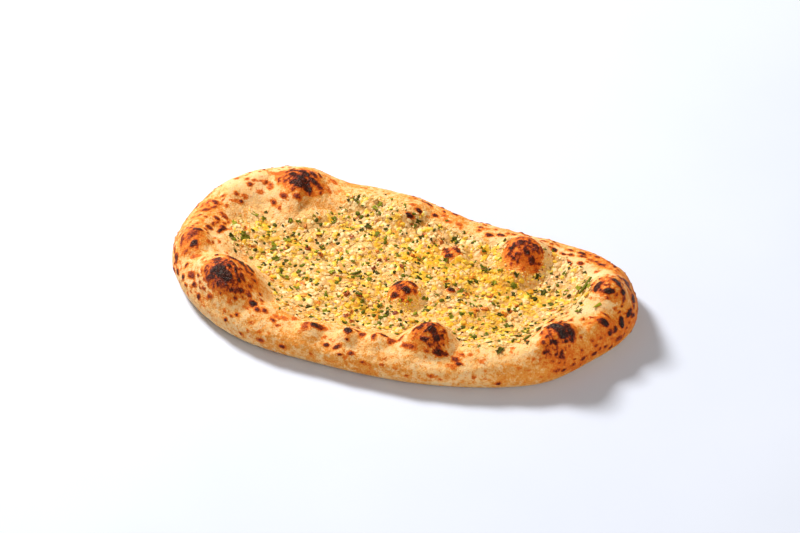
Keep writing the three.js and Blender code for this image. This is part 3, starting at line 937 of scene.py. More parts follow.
class Signal:
    """The output of a node. Arithmetic on it adds the Math nodes that do the same in the shader."""

    def __init__(self, finish, socket):
        self.finish, self.socket = finish, socket

    def maths(self, operation, *values):
        return self.finish.node("ShaderNodeMath", {"operation": operation}, dict(enumerate(values)))

    def __add__(self, other):
        return self.maths("ADD", self, other)

    def __sub__(self, other):
        return self.maths("SUBTRACT", self, other)

    def __rsub__(self, other):
        return self.maths("SUBTRACT", other, self)

    def __mul__(self, other):
        return self.maths("MULTIPLY", self, other)

    __radd__, __rmul__ = __add__, __mul__

    def step(self, low, high):
        """A smooth step from 0, where the signal is at low, to 1, where it is at high."""
        limits = {"Value": self, "From Min": low, "From Max": high}
        return self.finish.node("ShaderNodeMapRange", {"interpolation_type": "SMOOTHSTEP"}, limits)


print("a signal knows sums and:", [name for name in vars(Signal) if name[0] != "_"])

# %% Finishes


class Finish:
    """A material that is being made."""

    def __init__(self, name):
        self.material = bpy.data.materials.new(name)
        self.material.use_nodes = True
        self.tree = self.material.node_tree
        self.tree.nodes.clear()
        metres = self.node("ShaderNodeTexCoord", output="Object")
        self.place = self.node("ShaderNodeVectorMath", {"operation": "SCALE"}, {0: metres, "Scale": 1 / MM})

    def node(self, kind, settings={}, values={}, output=0):
        made = self.tree.nodes.new(kind)
        for name, setting in settings.items():
            setattr(made, name, setting)
        for name, value in values.items():
            if isinstance(value, Signal):
                self.tree.links.new(value.socket, made.inputs[name])
            else:
                made.inputs[name].default_value = value
        return Signal(self, made.outputs[output]) if made.outputs else None

    def field(self, name):
        """A number that the mesh holds for each of its points."""
        return self.node("ShaderNodeAttribute", {"attribute_name": name}, output="Fac")

    def cloud(self, width, detail=2, shift=0):
        """Soft noise from 0 to 1 with lumps about that many millimetres wide."""
        moved = self.node("ShaderNodeVectorMath", {"operation": "ADD"}, {0: self.place, 1: (shift,) * 3})
        return self.node("ShaderNodeTexNoise", {}, {"Vector": moved, "Scale": 1 / width, "Detail": detail})

    def sway(self, *look):
        """The same noise, around 0."""
        return self.cloud(*look) - 0.5

    def cells(self, width, feature="F1", output="Distance"):
        values = {"Vector": self.place, "Scale": 1 / width}
        return self.node("ShaderNodeTexVoronoi", {"feature": feature}, values, output)

    def blend(self, share, one, other):
        """The first colour where the share is 0 and the second where it is 1."""
        return self.node("ShaderNodeMix", {"data_type": "RGBA"}, {0: share, 6: one, 7: other}, 2)

    def layers(self, signal, colour, *steps):
        """A colour with others laid over it in turn, each as the signal rises from its low to its high."""
        for low, high, other in steps:
            colour = self.blend(signal.step(low, high), colour, other)
        return colour

    def surface(self, **values):
        sockets = {name.replace("_", " "): value for name, value in values.items()}
        shader = self.node("ShaderNodeBsdfPrincipled", {}, sockets)
        self.node("ShaderNodeOutputMaterial", {}, {"Surface": shader})
        return self.material

    def food(self, colour, roughness, gloss, relief, depth, glow, glow_colour, glow_depth):
        """Moist food: light glows in it, and its relief is that many millimetres deep."""
        return self.surface(
            Base_Color=colour,
            Roughness=roughness,
            Specular_IOR_Level=gloss,
            Normal=self.node("ShaderNodeBump", {}, {"Height": relief, "Distance": depth * MM}),
            Subsurface_Weight=glow,
            Subsurface_Radius=glow_colour,
            Subsurface_Scale=glow_depth * MM,
        )


print("a finish knows:", [name for name in vars(Finish) if name[0] != "_"])

# %% A colour, and how a piece gets its finish


def coat(material, *pieces):
    for piece in pieces:
        piece.data.materials.append(material)
    print("the finish", material.name, "has", len(material.node_tree.nodes), "nodes")


def paint(red, green, blue):
    """A colour for the shader, from its three numbers out of 255 as a screen shows it."""
    return (*(((level / 255 + 0.055) / 1.055) ** 2.4 for level in (red, green, blue)), 1)


print("the middle grey of a screen is this share of white light:", round(paint(128, 128, 128)[0], 3))

# %% [markdown]
# ## The baked dough
#
# Baked dough goes from cream through gold, amber and brown to black, and grey ash where it caught fire. The
# same grey also serves as painted sheen on the most scorched places. The fields on the mesh already say how
# hot each place became. The shader bends them with fine noise, so that the steps between the colours are
# crisp, and picks the colour from them. Flour dusts what stayed pale, and fat from the garlic butter yellows
# the middle.

# %% The colours of the dough
CREAM = paint(246, 196, 128)
FLOUR = paint(244, 212, 162)
GOLDEN = paint(230, 150, 56)
AMBER = paint(218, 106, 12)
RUSSET = paint(152, 50, 6)
BROWN = paint(82, 26, 5)
BLACK = paint(22, 10, 5)
# Grey ash, which also serves as painted sheen on the most scorched places.
ASH_AND_SHEEN = paint(116, 90, 84)
PASTE = paint(246, 200, 120)
BUTTERED = paint(240, 184, 54)


def dough_finish():
    finish = Finish("dough")
    fine, small, broad = finish.sway(1, 4), finish.sway(3.2, 3, 40), finish.sway(15, 3, 80)
    pasty = (finish.field("stain") + small * 1.2 + fine * 0.8).step(0.3, 1.1)
    # The toast field also carries one patch of painted shade, below the back left blister.
    toasted_and_shaded = finish.field("toast_and_shade") * 0.85 + broad * 0.8 + small * 1.5 + fine * 1.5
    soaked = finish.field("butter") + small + fine * 0.6
    dry = 1 - soaked.step(0.2, 0.7)
    skin = finish.blend(pasty * 0.6, CREAM, PASTE)
    skin = finish.blend(soaked.step(0.25, 0.9) * 0.8, skin, BUTTERED)
    skin = finish.layers(toasted_and_shaded, skin, (-0.1, 0.4, GOLDEN), (0.4, 0.95, AMBER))
    floury = (finish.cloud(7, 4, 120) + fine * 0.8).step(0.44, 0.62) * (1 - toasted_and_shaded.step(0, 0.3)) * dry
    skin = finish.blend(floury * (0.7 - 0.4 * pasty), skin, FLOUR)
    bleached = (small * 0.8 + fine * 0.8 - finish.field("toast_and_shade")).step(0.1, 0.5) * dry
    skin = finish.blend(bleached * 0.8, skin, FLOUR)

    burnt = finish.field("scorch") + fine + small * 0.8
    skin = finish.layers(burnt, skin, (0.08, 0.4, AMBER), (0.4, 0.74, RUSSET))
    skin = finish.layers(burnt, skin, (0.66, 1, BROWN), (0.95, 1.3, BLACK))
    # Grey ash on the most scorched places, which also serves as painted sheen there.
    skin = finish.blend((burnt + finish.sway(1.6, 3, 200) * 1.2).step(1.2, 1.6) * 0.55, skin, ASH_AND_SHEEN)

    cracked = finish.cells(2.4, "DISTANCE_TO_EDGE").step(0, 0.18) * burnt.step(0.5, 1.1)
    grain = finish.cloud(0.9, 3, 240) + finish.cloud(2.4, 3, 280) * 1.6 + cracked * 0.9
    return finish.food(
        skin, roughness=0.62 - burnt.step(0.4, 0.9) * 0.14, gloss=0.2, relief=grain, depth=0.6,
        glow=0.1, glow_colour=(1, 0.4, 0.15), glow_depth=2,
    )


coat(dough_finish(), bread)

# %% [markdown]
# ## Scattering the topping
#
# Each kind of topping is one mesh that holds all its pieces at their real size. Places are drawn at random
# inside the spread, and a place too near to one that is taken is left out, as crumbs don't sink into each
# other. A ray from above finds the skin there, and each piece lies on it, turned to its slope. What would
# land where the skin is steep has rolled off, and is left out.

# %% Places on the bread
DOWN = (0, 0, -1)
RAY_HEIGHT = 80
LEVEL_ENOUGH = 0.62
# Two corners in millimetres, and how many places are drawn for each one that is wanted.
SCATTER_BOX = np.array([[-124, -66], [140, 76]])
TRIES = 14


def highest(x, y, *tops):
    """The highest point under a place seen from above, and the bread's normal there."""
    hits = [top.ray_cast((x, y, RAY_HEIGHT), DOWN)[:2] for top in tops]
    places = [np.array(place) for place, _ in hits if place is not None]
    return max(places, key=lambda place: place[2]), np.array(hits[0][1])


def on_spread(x, y):
    return highest(x, y, bread_top, spread_top)


print("the top of the middle blister, in mm:", highest(*blister_centre("middle"), bread_top)[0].round(1))

# %% Drawing places and turning pieces


def scatter(seed, count, spacing, likely, lay=on_spread, tries=TRIES):
    """Places on the bread at least the spacing apart, more of them where they are more likely."""
    rng = np.random.default_rng(seed)
    places = rng.uniform(*SCATTER_BOX, (count * tries, 2))
    chance = likely(np.column_stack([places, np.zeros(len(places))]))
    places = places[rng.random(len(places)) < chance]
    taken = np.full((count, 2), np.inf)
    number = 0
    for place in places:
        if np.hypot(*(taken - place).T).min() > spacing:
            taken[number] = place
            number += 1
        if number == count:
            break
    laid = [lay(*place) for place in taken[:number].tolist()]
    return [(place, normal) for place, normal in laid if normal[2] > LEVEL_ENOUGH]


def turned(rng, normal, tilt, side=None):
    """Three directions that stand on the skin and lean a little, turned at random if no side is given."""
    up = normal + rng.normal(0, tilt, 3)
    up /= np.linalg.norm(up)
    along = np.cross(up, rng.normal(0, 1, 3) if side is None else side)
    along /= np.linalg.norm(along)
    return np.array([along, np.cross(up, along), up])


UPWARDS = np.array([0.0, 0, 1])
print("a piece leans like this:", turned(np.random.default_rng(1), UPWARDS, 0.1)[2].round(2))

# %% Many shapes as one


def joined(shapes):
    """Many small shapes, each with its points, faces and fields, as one."""
    starts = np.cumsum([0] + [len(points) for points, _, _ in shapes[:-1]])
    points = np.concatenate([points for points, _, _ in shapes])
    faces = np.concatenate([faces + start for start, (_, faces, _) in zip(starts, shapes)])
    fields = {name: np.concatenate([fields[name] for _, _, fields in shapes]) for name in shapes[0][2]}
    return points, faces, fields


one_shape = (np.eye(3), np.array([[0, 1, 2]]), {})
print("the faces of two triangles as one shape:", joined([one_shape, one_shape])[1].tolist())

# %% [markdown]
# ## The spread
#
# Garlic is chopped small and stirred into butter. Baked on, it is a crust of packed lumps with narrow
# creases between them, and knobs on the lumps. Thousands of loose lumps would look like a heap of beads, so
# the spread is one piece: a patch of cells half a millimetre wide, like the one of the bread, laid over the
# middle. Voronoi cells give the lumps, as they meet in creases. Towards the edge more and more lumps are
# left out, and there the piece dips into the dough.

# %% The packed lumps, in millimetres
LUMP_WIDTH, KNOB_WIDTH, CREASE_WIDTH = 3.8, 2.1, 0.9
# How far noise moves the lumps, and how wide that noise is.
LUMP_BEND = (1.5, 3.6)
# The smallest lump's height as a share of the largest one's, and how much of it the cracks of the knobs cut.
LUMP_LEAST, KNOB_CUT = 0.2, 0.4


def garlic_lumps(places):
    """The height of the packed lumps from 0 to 1, and for each lump a random tone and a random rank."""
    flat = places * (1, 1, 0)
    bend = np.stack([lumps(flat, LUMP_BEND[1], seed) for seed in (51, 52)], axis=1) * LUMP_BEND[0]
    height, tone, rank = np.empty((3, len(places)))
    for number, place in enumerate((flat[:, :2] + bend).tolist()):
        distances, centres = noise.voronoi((place[0] / LUMP_WIDTH, place[1] / LUMP_WIDTH, 0))
        knobs, _ = noise.voronoi((place[0] / KNOB_WIDTH, place[1] / KNOB_WIDTH, 5))
        tone[number], rank[number] = draw(centres[0], 7), draw(centres[0], 13)
        size = LUMP_LEAST + (1 - LUMP_LEAST) * draw(centres[0], 11)
        gap, crack = (min(1, (near[1] - near[0]) / CREASE_WIDTH) for near in (distances, knobs))
        height[number] = size * gap * (2 - gap) * (1 - KNOB_CUT + KNOB_CUT * crack * (2 - crack))
    return height, tone, rank


print("height, tone and rank of one lump:", [value[0].round(2) for value in garlic_lumps(one_place)])

# %% The spread as one sheet, in millimetres
SPREAD_COLUMNS, SPREAD_ROWS, SPREAD_SKIP = 440, 200, 5
SPREAD_INSET = 20
PASTE_DEPTH, LUMP_HEIGHT = 0.35, 1.15
# Height, width and seed of its fine and its broad unevenness, and of the noise that thins it here and there.
PASTE_UNEVEN = [(0.25, 1.5, 53), (0.3, 7, 54)]
THIN = [(2.4, 11, 55)]
# How deep the bare parts of the sheet and its plain underside lie in the dough.
BURIED, UNDERSIDE_DEPTH = 0.75, 1.6


def spread_piece():
    loop, towards, _ = edge_of_patch(SPREAD_COLUMNS, SPREAD_ROWS)
    plan = patch(loop + towards * SPREAD_INSET - edge_middle, SPREAD_COLUMNS, SPREAD_ROWS)
    flat = plan.reshape(-1, 2)
    skin = np.array([bread_top.ray_cast((x, y, RAY_HEIGHT), DOWN)[0][2] for x, y in flat.tolist()])
    places = np.column_stack([flat, skin])
    lump, tone, rank = garlic_lumps(places)
    cover_here = spread_cover(places)
    thin = 1.1 * smooth(layered_lumps(places, THIN) - 0.2)
    garlic = smooth((1.8 * cover_here - rank - thin) * 2.2)
    lift = (BURIED + PASTE_DEPTH * cover_here + LUMP_HEIGHT * lump) * garlic - BURIED
    lift += layered_lumps(places, PASTE_UNEVEN) * garlic
    quads, outline = patch_faces(SPREAD_COLUMNS, SPREAD_ROWS)
    lift[outline] = -BURIED

    coarse = places.reshape(*plan.shape[:2], 3)[::SPREAD_SKIP, ::SPREAD_SKIP].reshape(-1, 3)
    points = np.vstack([places + np.outer(lift, (0, 0, 1)), coarse - (0, 0, UNDERSIDE_DEPTH)])
    under_quads, under_outline = patch_faces(SPREAD_COLUMNS // SPREAD_SKIP, SPREAD_ROWS // SPREAD_SKIP)
    sides = stitched(outline, under_outline + len(flat))
    faces = [*quads.tolist(), *(under_quads[:, ::-1] + len(flat)).tolist(), *sides.tolist()]
    fields = {"lump": lump, "tone": tone, "butter": patches_on(places, BUTTER_POOLS)}
    none = np.zeros(len(coarse))
    return points, faces, {name: np.append(values, none) for name, values in fields.items()}


spread_points, spread_faces, spread_fields = spread_piece()
paste_piece = make_piece("garlic_spread", "garlic", spread_points, spread_faces, spread_fields)
spread_top = bvhtree.BVHTree.FromPolygons(spread_points.tolist(), spread_faces)

# %% [markdown]
# ## Loose crumbs and butter
#
# Some crumbs of garlic stand proud of the crust, two to four millimetres wide and half sunk in it, with
# smaller grains between them, and some were carried up the flanks of the blisters that rose. A crumb starts
# as a sphere, which is made blocky and then knobbly by noise. Every crumb gets a tone of its own, since a
# few were browned by the oven and others are soaked in yellow butter. The browned ones are easily seen, so
# they are listed one by one.

# %% A crumb
# How blocky it is, how wide the noise of its knobs is, how far it leans, and how rare large ones are.
CRUMB_BLOCKINESS, CRUMB_KNOBS, CRUMB_LEAN, CRUMB_POWER = 0.8, 1.1, 0.3, 1.6
CRUMB_WIDTHS = (0.6, 1)


def ball(steps):
    """The points and triangles of a sphere of radius 1."""
    made = bpy.data.meshes.new("for its points")
    shape = bmesh.new()
    bmesh.ops.create_icosphere(shape, subdivisions=steps, radius=1)
    shape.to_mesh(made)
    shape.free()
    points = np.array([vertex.co[:] for vertex in made.vertices])
    faces = np.array([face.vertices[:] for face in made.polygons])
    bpy.data.meshes.remove(made)
    return points, faces


def crumbs(places, seed, steps, sizes, flatness, sunk, knobbly, tones=(0, 1)):
    """One crumb for each place, all joined."""
    rng = np.random.default_rng(seed)
    sphere, faces = ball(steps)
    shapes = []
    for number, (place, normal) in enumerate(places):
        radius = (sizes[0] + (sizes[1] - sizes[0]) * rng.random() ** CRUMB_POWER) / 2
        stretch = np.array([1, rng.uniform(*CRUMB_WIDTHS), rng.uniform(*flatness)])
        knobs = 1 + knobbly * lumps(sphere, CRUMB_KNOBS, seed + number)
        blocky = np.sign(sphere) * np.abs(sphere) ** CRUMB_BLOCKINESS
        points = (blocky * knobs[:, None] * stretch * radius) @ turned(rng, normal, CRUMB_LEAN)
        lift = radius * stretch[2] * (1 - 2 * sunk)
        tone = np.full(len(points), rng.uniform(*tones))
        shapes.append((points + place + normal * lift, faces, {"tone": tone}))
    points, faces, fields = joined(shapes)
    return points, faces, {**fields, "butter": patches_on(points, BUTTER_POOLS)}


print("triangles of a grain and of a crumb:", [len(ball(steps)[1]) for steps in (1, 2)])

# %% Where crumbs are likely
# How far up its bare part a blister carried loose bits, as a share of that part.
CLIMBED = 0.6


def grain_likely(points):
    """Loose bits lie higher up the blisters than the spread, but not on the brown crowns."""
    # The toast field also holds one patch of painted shade, below the back left blister.
    browned_and_shaded = toast_and_shade[nearest(top_tree, *points[:, :2].T)]
    return spread_cover(points, CLIMBED) * (1 - smooth(3 * browned_and_shaded - 0.6))


def crumb_likely(points):
    return grain_likely(points) ** 1.5 * (0.35 + 0.65 * smooth(0.6 + 1.3 * lumps(points, 7, 21)))


def flank_likely(points):
    """Only the flanks of the blisters, where the spread thins out."""
    return grain_likely(points) * (1 - spread_cover(points)) * (inside_spread(*points[:, :2].T) > 3)


def butter_likely(points):
    return grain_likely(points) * np.clip(0.12 + patches_on(points, BUTTER_POOLS), 0, 1)


print("how likely a grain and a crumb are at one place:", grain_likely(one_place), crumb_likely(one_place))

# %% The crumbs of garlic
# How many and how far apart.
CRUMBS, GRAINS, FLANK_GRAINS, BUTTER_BITS = (260, 4), (480, 2), (520, 1.5), (240, 4)
FLANK_TRIES = 60
CRUMB_SHAPE = {"steps": 2, "sizes": (2, 4.4), "flatness": (0.25, 0.45), "sunk": 0.55, "knobbly": 0.9}
GRAIN_SHAPE = {"steps": 1, "sizes": (1, 2.2), "flatness": (0.4, 0.7), "sunk": 0.4, "knobbly": 0.6}
FLANK_SHAPE = GRAIN_SHAPE | {"sunk": 0.45}
BUTTER_SHAPE = {"steps": 2, "sizes": (1.8, 4.6), "flatness": (0.2, 0.4), "sunk": 0.6, "knobbly": 1}
ROASTED_SHAPE = {"steps": 2, "flatness": (0.35, 0.5), "sunk": 0.4, "knobbly": 0.9, "tones": (0.93, 1)}

# Garlic that the oven browned: right, back, length.
ROASTED = [
    (-59, 7, 4.4), (-69, 9, 3.8), (-20, 14, 4.2), (-21, 5, 3.8), (-22, 33, 3.2), (0, 26, 3.6),
    (-24, 22, 3.8), (-45, 30, 3), (-3, 10, 3), (56, -13, 5.4), (74, -10, 4.8), (61, -11, 4.4), (5, 24, 3.4),
    (-28, -27, 5.4), (-20, -26, 5.4), (14, 45, 3.6), (17, 38, 3.8), (26, 36, 3.4),
]


def roasted_crumbs(seed):
    return [
        crumbs([on_spread(x, y)], seed + x, sizes=(size, size), **ROASTED_SHAPE)
        for x, y, size in ROASTED
    ]


plain_crumbs = crumbs(scatter(31, *CRUMBS, crumb_likely), 32, **CRUMB_SHAPE)
crumb_shapes = joined([plain_crumbs, *roasted_crumbs(500)])
level_grains = crumbs(scatter(33, *GRAINS, grain_likely), 34, **GRAIN_SHAPE)
flank_places = scatter(37, *FLANK_GRAINS, flank_likely, tries=FLANK_TRIES)
print("grains on the flanks of the blisters:", len(flank_places))
grain_shapes = joined([level_grains, crumbs(flank_places, 38, **FLANK_SHAPE)])
butter_shapes = crumbs(scatter(35, *BUTTER_BITS, butter_likely), 36, **BUTTER_SHAPE)
crumb_piece = make_piece("garlic_crumbs", "garlic", *crumb_shapes)
grain_piece = make_piece("garlic_grains", "garlic", *grain_shapes)
butter_piece = make_piece("butter_bits", "butter", *butter_shapes)

# %% [markdown]
# Garlic is cream to faintly pink, and yellow and half clear where butter soaked it. One function paints it
# for the crust and for the crumbs alike, from each lump's own tone and from how much butter lies there, so
# the two can't be told apart. The crust gets painted shade in its creases, gold in the shallow ones and
# dark brown in the deepest, and a few dark specks.

# %% The finish of the garlic
GARLIC = paint(250, 224, 166)
GARLIC_PINK = paint(230, 190, 132)
GARLIC_SOAKED = paint(242, 204, 66)
GARLIC_DEEP = paint(234, 176, 22)
GARLIC_ROASTED = paint(214, 112, 30)
GARLIC_BURNT = paint(120, 44, 16)
# Painted shade for the creases between the garlic lumps: gold in the shallow ones, dark brown in the
# deepest.
CREASE_SHADE_GOLD = paint(208, 146, 56)
CREASE_SHADE_DARK = paint(112, 78, 26)
SPECK = paint(104, 70, 18)
GARLIC_GLOW = {"gloss": 0.25, "glow": 0.15, "glow_colour": (1, 0.6, 0.3), "glow_depth": 1.2}
BUTTER_GLOW = {"gloss": 0.3, "glow": 0.2, "glow_colour": (1, 0.7, 0.25), "glow_depth": 1.2}


def garlic_colour(finish, tone):
    """Cream, pink or soaked in butter by its tone, in patches, and here and there roasted."""
    fine, small = finish.sway(0.9, 3), finish.sway(3.4, 2, 25)
    pool = finish.field("butter") + finish.sway(7, 3, 10) * 2.2
    soaked = pool + small * 2 + tone * 1.3 + fine * 0.5 - 0.7
    colour = finish.blend((tone + small * 1.2 + fine * 0.4).step(0.1, 0.5), GARLIC_PINK, GARLIC)
    colour = finish.layers(soaked, colour, (0.1, 0.5, GARLIC_SOAKED), (0.6, 1.1, GARLIC_DEEP))
    colour = finish.layers(tone + fine * 0.3, colour, (0.88, 0.97, GARLIC_ROASTED))
    return finish.layers(tone + fine * 0.2, colour, (0.965, 0.99, GARLIC_BURNT))


def spread_finish():
    finish = Finish("garlic spread")
    lump, fine = finish.field("lump"), finish.sway(1.2, 3, 60)
    colour = garlic_colour(finish, finish.field("tone"))
    # Painted shade in the creases between the lumps, darkest where they are deepest.
    colour = finish.blend((0.32 - lump + fine * 0.5).step(0, 0.3) * 0.8, colour, CREASE_SHADE_GOLD)
    deep_shade = (0.13 - lump + fine * 0.5).step(0, 0.2) * finish.cloud(4, 2, 90).step(0.42, 0.6)
    colour = finish.blend(deep_shade, colour, CREASE_SHADE_DARK)
    speck = (0.2 - finish.cells(2.2)).step(0, 0.08) * finish.cloud(3, 2, 130).step(0.46, 0.52)
    colour = finish.blend(speck * 0.8, colour, SPECK)
    return finish.food(colour, 0.4 + lump * 0.1, relief=finish.cloud(1.2, 2), depth=0.25, **GARLIC_GLOW)


def garlic_finish():
    finish = Finish("garlic crumb")
    colour = garlic_colour(finish, finish.field("tone"))
    roughness = 0.5 + finish.cloud(1.2) * 0.2
    return finish.food(colour, roughness, relief=finish.cloud(0.8, 3), depth=0.2, **GARLIC_GLOW)


def butter_finish():
    finish = Finish("butter")
    colour = finish.blend(finish.field("tone"), GARLIC_SOAKED, GARLIC_DEEP)
    colour = finish.blend(finish.cloud(1.6, 3).step(0.55, 0.75) * 0.5, colour, GARLIC)
    roughness = 0.4 + finish.cloud(1.2) * 0.2
    return finish.food(colour, roughness, relief=finish.cloud(0.7, 3), depth=0.15, **BUTTER_GLOW)


coat(spread_finish(), paste_piece)
coat(garlic_finish(), crumb_piece, grain_piece)
coat(butter_finish(), butter_piece)

# %% [markdown]
# ## Coriander
#
# The coriander is chopped coarsely, so whole lobed leaflets lie among torn shreds and short bits of stalk.
# A leaflet is a thin closed solid, because a sheet without thickness would look wrong from the side. Its
# outline is a circle pulled in between its lobes, and it curls and waves, since it has dried in the oven's
# heat. The largest are placed one by one, and the rest are scattered.

# %% The faces of a leaflet
LEAF_RAYS, LEAF_RINGS = 30, 4


def band(inner, outer):
    """The triangles between two closed lines of as many points."""
    after = np.roll(outer, -1)
    corners = (inner, outer, after), (inner, after, np.roll(inner, -1))
    return np.concatenate([np.stack(three, axis=-1) for three in corners])


def leaf_faces():
    """Both faces and the edge of a leaf, which has a middle point and rings above and the same below."""
    rings = [1 + ring * LEAF_RAYS + np.arange(LEAF_RAYS) for ring in range(LEAF_RINGS)]
    count = 1 + LEAF_RINGS * LEAF_RAYS
    fan = np.stack([np.zeros(LEAF_RAYS, int), rings[0], np.roll(rings[0], -1)], axis=-1)
    upper = np.concatenate([fan, *(band(*pair) for pair in zip(rings, rings[1:]))])
    return np.concatenate([upper, upper[:, ::-1] + count, band(rings[-1], rings[-1] + count)])


print("a leaflet has", len(leaf_faces()), "triangles")

# %% A leaflet
LEAF_THICKNESS, LEAF_LIFT = 0.22, 0.2
# How deep the notches between the lobes are, how large its teeth, and how lopsided it is.
LEAF_NOTCH, LEAF_TEETH, LEAF_LOPSIDED = 0.42, 0.12, 0.14
# The least and the most of its width, its curl, its waves and its fold, drawn for each leaf.
LEAF_WIDTHS, LEAF_CURLS, LEAF_WAVES, LEAF_FOLDS = (0.55, 1), (0.01, 0.04), (0.15, 0.35), (-0.3, 0.5)


def leaf(rng, place, normal, size, faces):
    angle = np.arange(LEAF_RAYS) * 2 * math.pi / LEAF_RAYS
    lobes = rng.choice([3, 4, 5])
    reach = 1 - LEAF_NOTCH * (0.5 + 0.5 * np.cos(lobes * angle)) ** 0.7
    teeth = LEAF_TEETH * np.cos(3 * lobes * angle + rng.uniform(0, 6))
    reach *= 1 + teeth + LEAF_LOPSIDED * np.cos(angle + rng.uniform(0, 6))
    ring = np.arange(1, LEAF_RINGS + 1)[:, None] / LEAF_RINGS
    x = (ring * reach * np.cos(angle)).ravel() * size / 2
    y = (ring * reach * np.sin(angle)).ravel() * size / 2 * rng.uniform(*LEAF_WIDTHS)
    x, y = np.append(0, x), np.append(0, y)
    away = np.hypot(x, y) / (size / 2)
    curl, wave, phase = rng.uniform(*LEAF_CURLS), rng.uniform(*LEAF_WAVES), rng.uniform(0, 6, 2)
    fold = rng.uniform(*LEAF_FOLDS)
    z = LEAF_LIFT + size * curl * away ** 2 + wave * away * np.sin(1.6 * x + phase[0]) + fold * np.abs(y)
    z += 0.2 * np.sin(2.3 * y + phase[1])
    upper = np.column_stack([x, y, z])
    points = np.concatenate([upper, upper - (0, 0, LEAF_THICKNESS)]) @ turned(rng, normal, 0.09) + place
    fields = {"tone": np.full(len(points), rng.random()), "vein": np.tile(np.abs(y) / size, 2)}
    return points, faces, fields


first_leaf, *_ = leaf(np.random.default_rng(1), np.zeros(3), UPWARDS, 6, leaf_faces())
print("a leaf 6 mm long measures, in mm:", np.ptp(first_leaf, axis=0).round(1))

# %% The top of the topping
topping = joined([(points, faces, {}) for points, faces, _ in (crumb_shapes, butter_shapes)])
topping_top = bvhtree.BVHTree.FromPolygons(topping[0].tolist(), topping[1].tolist())
print("triangles that a leaf can lie on:", len(topping[1]))


def on_topping(x, y):
    return highest(x, y, bread_top, spread_top, topping_top)


# %% The leaves
# Where the largest leaves lie, in millimetres, and how long each one is.
LARGE_LEAVES = [
    (-123, 10, 7.5), (-110, 3, 8.5), (-113, 27, 6.5), (-107, 27, 5.5), (-119, -2, 5), (-90, 2, 5.5),
    (-85, -7, 8), (-91, -12, 6), (-78, -7, 5.5), (-69, 34, 8), (-62, 43, 6), (-84, 13, 5.5), (-76, 13, 5),
    (-67, -13, 5), (-47, 3, 4.5), (-42, 15, 7.5), (-38, 43, 7), (-60, 50, 6), (-54, 62, 7), (-30, 38, 6),
    (-38, 58, 6), (-34, 55, 5.5), (-6, 55, 5), (8, 55, 5.5), (23, 48, 8), (-4, 31, 5.5), (-8, 10, 5),
    (-30, -4, 9.5), (-21, -1, 6), (16, 9, 5), (93, 17, 8), (86, 29, 6.5), (49, 27, 6.5), (47, 16, 6.5),
    (73, 17, 5), (123, -8, 8.5), (134, -2, 7), (107, 17, 5), (62, -38, 7), (93, -28, 7), (72, -12, 5.5),
    (55, -19, 5.5), (40, 3, 5.5), (85, -57, 8), (100, -46, 5), (92, -37, 5),
]
LEAF_COUNT, LEAF_SPACING, LEAF_SIZES = 150, 5, (2.8, 5.6)


def herb_likely(points):
    near = inside_spread(*points[:, :2].T) > -4
    return 0.9 * grain_likely(points) + 0.1 * near * (1 - bare_crown(*points[:, :2].T))


def leaves(seed):
    rng = np.random.default_rng(seed)
    faces = leaf_faces()
    shapes = [leaf(rng, *on_topping(x, y), size, faces) for x, y, size in LARGE_LEAVES]
    for place, normal in scatter(seed + 1, LEAF_COUNT, LEAF_SPACING, herb_likely, on_topping):
        shapes.append(leaf(rng, place, normal, rng.uniform(*LEAF_SIZES), faces))
    return joined(shapes)


leaf_piece = make_piece("coriander_leaves", "coriander", *leaves(41))

# %% [markdown]
# The shreds and bits of stalk are short bent strips with four sides. They are too small to show more than
# their length, their bend and their colour. Only the few longest stalks are placed one by one.

# %% The shreds
SHRED_COUNT, SHRED_SPACING, SHRED_STEPS = 340, 3, 3
# Length in millimetres, width as a share of it, thickness, and the bend and the slope, drawn for each shred.
SHRED_LENGTHS, SHRED_WIDTHS, SHRED_THICKNESSES = (1.6, 3.4), (0.45, 0.95), (0.2, 0.4)
SHRED_BENDS, SHRED_SLOPES = (-0.5, 0.5), (-0.25, 0.4)

# The longest bits of stalk: right, back, turn, length.
STALKS = [(121, 17, 68, 14), (-31, -2, 30, 8), (-77, -20, -40, 7), (98, -41, 50, 8), (12, 4, -20, 6)]
STALK_WIDTH, STALK_THICKNESS = 1 / 5, 0.8


def shred_faces():
    square, steps = np.arange(4), range(SHRED_STEPS)
    sides = [band(4 * step + square, 4 * (step + 1) + square) for step in steps]
    ends = np.array([(0, 1, 2), (0, 2, 3)])
    return np.concatenate([ends, *sides, ends[:, [0, 2, 1]] + 4 * SHRED_STEPS])


def shred(rng, place, normal, length, width, thickness, faces, side=None):
    share = np.linspace(-0.5, 0.5, SHRED_STEPS + 1)
    bend, taper = rng.uniform(*SHRED_BENDS), 1 - 0.5 * (2 * np.abs(share)) ** 2
    x, y = share * length, bend * length * (share ** 2 - 0.12)
    z = 0.1 + rng.uniform(*SHRED_SLOPES) * length * share + thickness / 2
    points = np.stack([
        np.column_stack([x, y + right * width / 2 * taper, z + up * thickness / 2])
        for right, up in ((-1, -1), (1, -1), (1, 1), (-1, 1))
    ], axis=1).reshape(-1, 3)
    fields = {"tone": np.full(len(points), rng.random()), "vein": np.full(len(points), 0.2)}
    return points @ turned(rng, normal, 0.2, side) + place, faces, fields


